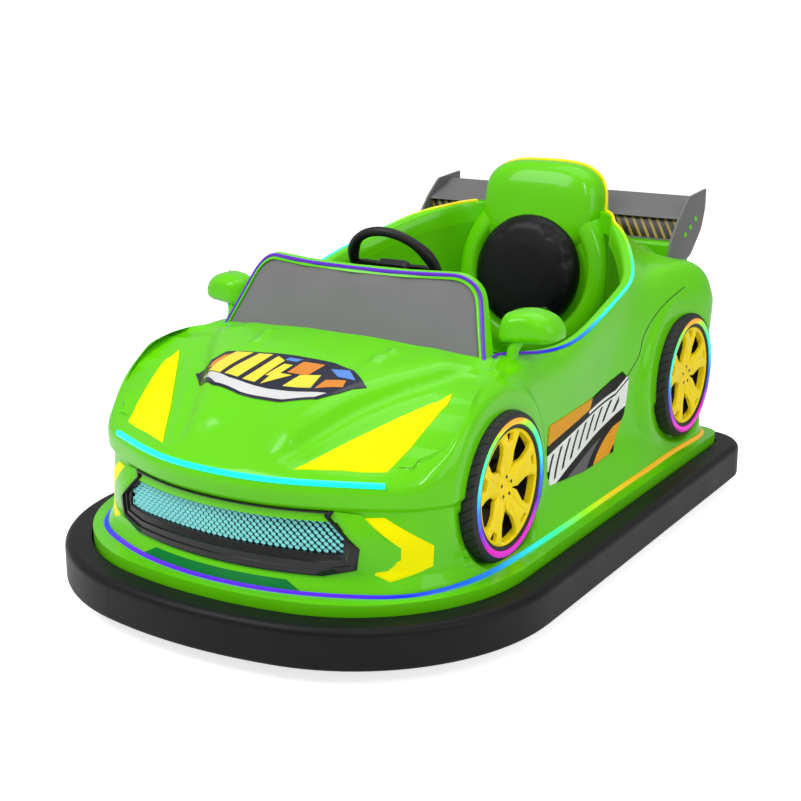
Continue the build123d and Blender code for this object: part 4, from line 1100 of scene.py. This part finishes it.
def stuffed(thing, cap):
    """Blows a cover up, and holds each point within cap metres of its start."""
    start = [vert.co.copy() for vert in thing.data.vertices]
    cloth = thing.modifiers.new("fill", "CLOTH")
    cloth.settings.use_pressure, cloth.settings.uniform_pressure_force = True, stuffing_pressure
    cloth.settings.effector_weights.gravity = 0
    for number in range(1, 21):
        bpy.context.scene.frame_set(number)
    bpy.ops.object.modifier_apply(modifier=cloth.name)
    bpy.context.scene.frame_set(1)
    for vert, first in zip(thing.data.vertices, start):
        move = vert.co - first
        if move.length > cap:
            vert.co = first + move * (cap / move.length)


def padded_piece(name, bm, cap, replaced):
    """A stuffed cover over a closed form, smoothed."""
    thing = add_piece(name, bm, vinyl, "pad_vinyl", replaced=(replaced,))
    bpy.context.view_layer.objects.active = thing
    applied(thing, "REMESH", mode="VOXEL", voxel_size=0.006)
    stuffed(thing, cap)
    applied(thing, "SMOOTH", factor=0.5, iterations=6)
    thing.data.shade_smooth()


pad_profile = [(-2, 0.01), (-2, 160), (2, 176), (14, 182), (30, 179), (42, 166), (50, 136), (54, 80),
               (55, 0.01)]
pad = laid(turned(pad_profile, 72), lambda rise, x, up: back_place(x, up, rise))
padded_piece("back_cushion", pad, 0.008, "back_pad")
low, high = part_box("seat_cushion")
slack = 7  # the squab's form is this much smaller than its box all round, before it is blown up
squab = rounded_block([value / mm + slack for value in low], [value / mm - slack for value in high], 18)
padded_piece("seat_squab", squab, 0.007, "seat_cushion")

# ---------------------------------------------------------------- mirrors
mirror_shape = [(-78, -34), (-68, -42), (62, -42), (78, -30), (76, 2), (44, 34), (-22, 44), (-64, 30)]
mirror_x, mirror_z = 453, 672


def mirror_place(sunk, way):
    """Stands a flat shape up at the left mirror, turned a little, facing ahead (-1) or behind (1)."""
    return lambda x, up, rise: at(mirror_x + x, sunk + way * rise + (x + 78) * 0.16, mirror_z + up + x * 0.06)


mirror = laid(pillow(mirror_shape, 74, 44, rounding=(12, 12, 16, 16, 22, 30, 30, 22), rings=9, domed=0.62),
              mirror_place(-162, -1))
stalk = tube([at(424, -214, 592), at(424, -206, 616), at(436, -196, 644)], 15, sides=16)
add_piece("mirror_shells", both_sides(joined([mirror, stalk])), replaced=("mirror_left", "mirror_right"))
glass_shape = [(x * 0.86, up * 0.84) for x, up in mirror_shape]
glass = laid(pillow(glass_shape, 2, 0.5, rounding=(10, 10, 14, 14, 22, 34, 34, 22)), mirror_place(-161.3, 1))
add_piece("mirror_glasses", both_sides(glass), mirror_glass, "bright_steel", sharp=12)

# ---------------------------------------------------------------- rear wing
wing_half = 426  # the end plates' inner faces


def upright(distance, z, rise):
    """Stands a flat side view up, with its thickness across the car."""
    return at(rise, distance, z)


plate_corners = [(1030, 860), (895, 851), (828, 802), (765, 736), (750, 678), (838, 662), (920, 670),
                 (1005, 743), (1029, 803)]
plate = laid(pillow(plate_corners, 8, 1.5, rounding=(0, 10, 10, 10, 16, 20, 20, 20, 10)), upright)
add_piece("wing_plates", both_sides(moved(plate, (wing_half, 0, 0))), wing_grey, "wing_grey",
          replaced=("wing_endplate_left", "wing_endplate_right"))


def foil_place(u, v):
    """The foil's closed section, run across the car."""
    turn = 2 * math.pi * v
    chord = 0.5 + 0.5 * math.cos(turn)
    thick = 9 * math.sin(turn) * (1.25 - chord) ** 0.5 * (0.35 + chord) ** 0.3
    height = 793 + 50 * chord - 8 * math.sin(math.pi * chord) + thick
    return at((u - 0.5) * 2 * wing_half, 832 + 142 * chord, height)


add_piece("wing_foil", grid(40, 48, foil_place), wing_grey, "wing_grey", replaced=("rear_wing",))
bolt_profile = [(-2, 8), (2, 8), (4, 6.5), (5, 3), (5, 0.01)]
bolts = [moved(turned(bolt_profile, 20), at(wing_half + 8, distance, z))
         for distance, z in ((868, 742), (906, 760), (946, 780))]
add_piece("wing_bolts", both_sides(joined(bolts)))

band_half = wing_half - 2
band = laid(pillow([(-band_half, 0), (band_half, 0), (band_half, 56), (-band_half, 56)], 8, 1.5),
            lambda x, up, rise: at(x, 838 + up * 0.35 - rise, 732 + up))
add_piece("wing_band", band, band_print, "black_plastic")
beam_corners = [(817, 656), (831, 648), (917, 648), (929, 660), (929, 714), (915, 726), (831, 726),
                (817, 714)]
beam = laid(pillow(beam_corners, band_half, 3, rounding=(0, 8, 8, 0, 0, 10, 10)), upright)
post = rounded_block(at(80, 800, 560), at(150, 880, 664), 12)
add_piece("wing_beam_shell", both_sides(joined([beam, post])), replaced=("wing_beam",))
inset = laid(pillow([(-360, 0), (-330, 17), (330, 17), (360, 0), (330, -17), (-330, -17)], 3, 1),
             lambda x, up, rise: at(x, 818 - rise, 692 + up))
add_piece("beam_inset", inset, pale_green)

# ---------------------------------------------------------------- steering wheel
wheel_place = leaning(at(0, -58, 748), 32, -1)
hoop_reach, hoop_fat, grip_fat = 126, 12.5, 3.5


def hoop_place(u, v):
    """The rim of the wheel, fatter where the hands lie."""
    angle, turn = u * 2 * math.pi, v * 2 * math.pi
    fat = hoop_fat + grip_fat * sum(bell(angle - math.pi * place, 0.28) for place in (0.14, 0.86))
    reach = hoop_reach + fat * math.cos(turn)
    return wheel_place(reach * math.cos(angle), reach * math.sin(angle), fat * math.sin(turn))


def sunk_place(depth):
    """Places in the steering wheel's plane, set back by depth."""
    return lambda x, up, rise: wheel_place(x, up, rise - depth)


side_spoke = [(28, -16), (112, -10), (122, 0), (114, 20), (84, 22), (30, 20)]
other_spoke = [(-x, up) for x, up in side_spoke]
low_spoke = [(-20, -28), (20, -28), (13, -118), (-13, -118)]
spokes = [laid(pillow(corners, 12, 4), sunk_place(8)) for corners in (side_spoke, other_spoke, low_spoke)]
hub = laid(pillow([(-46, -30), (46, -30), (54, 0), (46, 30), (-46, 30), (-54, 0)], 26, 8,
                  rounding=(14, 14, 10, 14, 14, 10), rings=4), sunk_place(18))
add_piece("wheel_hoop", joined([grid(96, 16, hoop_place), hub] + spokes), black, "black_plastic",
          body="steering", replaced=("steering_wheel",))


# ---------------------------------------------------------------- show wheels
def fan(bm, count):
    """Copies of a mesh turned about the X axis, evenly spread."""
    copies = []
    for index in range(count):
        copy = bm.copy()
        turn = Matrix.Rotation(2 * math.pi * index / count, 3, "X")
        bmesh.ops.rotate(copy, verts=copy.verts, cent=(0, 0, 0), matrix=turn)
        copies.append(copy)
    bm.free()
    return joined(copies)


def wheel_map(bm):
    """Maps a wheel's surface by its turn (0 to 1) and its distance along the axle, in metres."""
    flow = bm.loops.layers.uv.new("flow")
    for face in bm.faces:
        middle = face.calc_center_median()
        base = math.atan2(middle.z, middle.y)
        for loop in face.loops:
            away = math.atan2(loop.vert.co.z, loop.vert.co.y) - base
            away = (away + math.pi) % (2 * math.pi) - math.pi
            loop[flow].uv = ((base + away) / (2 * math.pi) + 0.5, loop.vert.co.x * mm)


def dished(sunk, climb):
    """Stands a flat spoke up in the wheel's plane, nearer to its face as it runs outwards."""
    return lambda out, across, rise: Vector((rise - sunk + climb * ease(out, 24, 124), across, out))


# Profiles of a show wheel: (distance along the axle from the outer face, radius).
tread_profile = [(-50, 150), (-51, 172), (-44, 179), (-34, 181), (-16, 181), (-6, 178), (-1, 170), (0, 165.5)]
wall_profile = [(-2, 150.5), (-1, 146), (-4, 141), (-30, 140.5), (-50, 140.5)]
halo_profile = [(-0.5, 166), (1.0, 164), (1.5, 158), (1.0, 152), (-1.5, 150)]
lip_profile = [(-24, 139.5), (-5, 139.5), (-4, 137), (-8, 132), (-20, 130.5), (-24, 130.5)]
cap_profile = [(-36, 40), (-17, 36), (-13, 31), (-14, 20), (-18, 17), (-18, 0.01)]
disc_profile = [(-24, 131), (-24, 129.5), (-54, 129), (-55, 60), (-40, 56), (-37, 0.01)]
hole_profile = [(-20, 4.2), (-12.6, 4.2), (-12.4, 0.01)]
# Corners in the wheel's plane: outwards along a spoke, and across it.
half_spoke = [(114, -11), (134, -18), (134, -36), (126, -48), (107, -34), (83, -27), (50, -31), (24, -18)]
spoke = half_spoke[::-1] + [(out, -across) for out, across in half_spoke]
rib = [(34, 3), (38, 14), (80, 22), (116, 36), (124, 26), (112, 14), (84, 7)]
halo_reach = 165
tyre_shift = 52  # keeps the tyre's map positive along the axle


def tyre_cover():
    """The tyre with its turned-in wall, mapped for the tread's grooves."""
    cover = moved(joined([turned(tread_profile, 96), turned(wall_profile, 96)]), (tyre_shift, 0, 0))
    wheel_map(cover)
    return moved(cover, (-tyre_shift, 0, 0))


def rim():
    """Five Y-shaped spokes with ridges, in a ring and round a cap."""
    other_rib = [(out, -across) for out, across in rib]
    ridge = joined([pillow(rib, 9, 5, rings=1), pillow(other_rib, 9, 5, rings=1)])
    face = laid(pillow(spoke, 11, 3, rings=2), dished(26, 12))
    spokes = fan(joined([face, laid(ridge, dished(21, 11))]), 5)
    return joined([turned(lip_profile, 96), spokes, turned(cap_profile, 40)])


def rim_back():
    """The dark dish behind the spokes, with the five bolt holes' discs."""
    holes = fan(moved(turned(hole_profile, 16), (0, 0, 25)), 5)
    return joined([turned(disc_profile, 64), holes])


def wheel_piece(name, bm, finish, slot, centre, **more):
    """Adds a part of a show wheel, whose outer face is at 0 along X, on its side of the car."""
    bmesh.ops.scale(bm, vec=(math.copysign(1, centre.x), 1, 1), verts=bm.verts)
    add_piece(name, moved(bm, centre), finish, slot, **more)


for end, (distance, height, outer) in wheel_places.items():
    halo_ends = ((height - halo_reach) * mm, (height + halo_reach) * mm)
    ring_glow = lit(end + " wheel light", ring_stops, 2, halo_ends, 0.3)
    for side, sign in (("left", 1), ("right", -1)):
        where, centre = f"{end}_{side}", at(sign * outer, distance, height)
        wheel_piece("tyre_" + where, tyre_cover(), tyre_tread, "tyre", centre,
                    replaced=("show_tyre_" + where,), merge=0.01)
        wheel_piece("tyre_light_" + where, turned(halo_profile, 96), ring_glow, "light_strip", centre)
        # the gold rims carry a painted glow
        wheel_piece("rim_" + where, rim(), gold, "wheel_gold", centre,
                    replaced=("show_rim_" + where,), sharp=22, merge=0.01)
        wheel_piece("rim_back_" + where, rim_back(), black, "black_plastic", centre, merge=0.01)


# ---------------------------------------------------------------- floor, light and camera
floor_mesh = bpy.data.meshes.new("studio_floor")
plane = bmesh.new()
bmesh.ops.create_grid(plane, x_segments=1, y_segments=1, size=30)
plane.to_mesh(floor_mesh)
plane.free()
floor = linked("studio_floor", floor_mesh)
# The floor and the sky look white to the camera, and throw less light on the car than they seem to.
paper = Finish("studio paper")
lit_paper = paper.node("BsdfDiffuse", given={"Color": (0.9, 0.9, 0.9)})
strength = paper.ray("Camera") * 0.75 + paper.ray("Glossy") * 0.1
glow = paper.node("Emission", given={"Color": (1.0, 1.0, 1.0), "Strength": strength})
paper.shown(paper.node("AddShader", given={0: lit_paper, 1: glow}))
floor_mesh.materials.append(paper.material)

world = bpy.data.worlds.new("studio")
bpy.context.scene.world = world
world.use_nodes = True
sky = Nodes(world.node_tree)
strength = sky.ray("Camera") * 0.7 + sky.ray("Glossy") * 0.06 + sky.ray("Transmission") * 0.6 + 0.4
sky.shown(sky.node("Background", given={"Color": (1.0, 1.0, 1.0), "Strength": strength}), "OutputWorld")


def soft_box(name, centre, aim, size, watts):
    """A rectangular lamp at a place, turned towards another."""
    light = bpy.data.lights.new(name, "AREA")
    light.shape, light.size, light.size_y, light.energy = "RECTANGLE", size[0], size[1], watts
    thing = linked(name, light)
    thing.location = centre
    thing.rotation_euler = (Vector(aim) - Vector(centre)).to_track_quat("-Z", "Y").to_euler()


soft_box("key", (-1.6, -2.6, 3.6), (0, 0, 0.3), (2.4, 2.4), 98)
soft_box("top", (0.3, 0.6, 3.8), (0, 0, 0.3), (3.0, 3.0), 48)
soft_box("side", (3.6, -0.6, 1.9), (0, 0, 0.4), (2.0, 2.0), 26)
soft_box("streak", (1.9, -2.4, 3.0), (0, -0.2, 0.5), (0.2, 1.6), 22)

lens = bpy.data.cameras.new("camera")
lens.lens, lens.sensor_width, lens.shift_x, lens.shift_y = 67.42, 36, -0.012, 0.0044
looks_down, looks_across = math.radians(15.929), math.radians(31.381)
camera = linked("camera", lens)
camera.location = (2.0414, -3.3657, 1.4827)
camera.rotation_euler = (math.pi / 2 - looks_down, 0, looks_across)
bpy.context.scene.camera = camera
bpy.context.scene.view_settings.view_transform = "Standard"
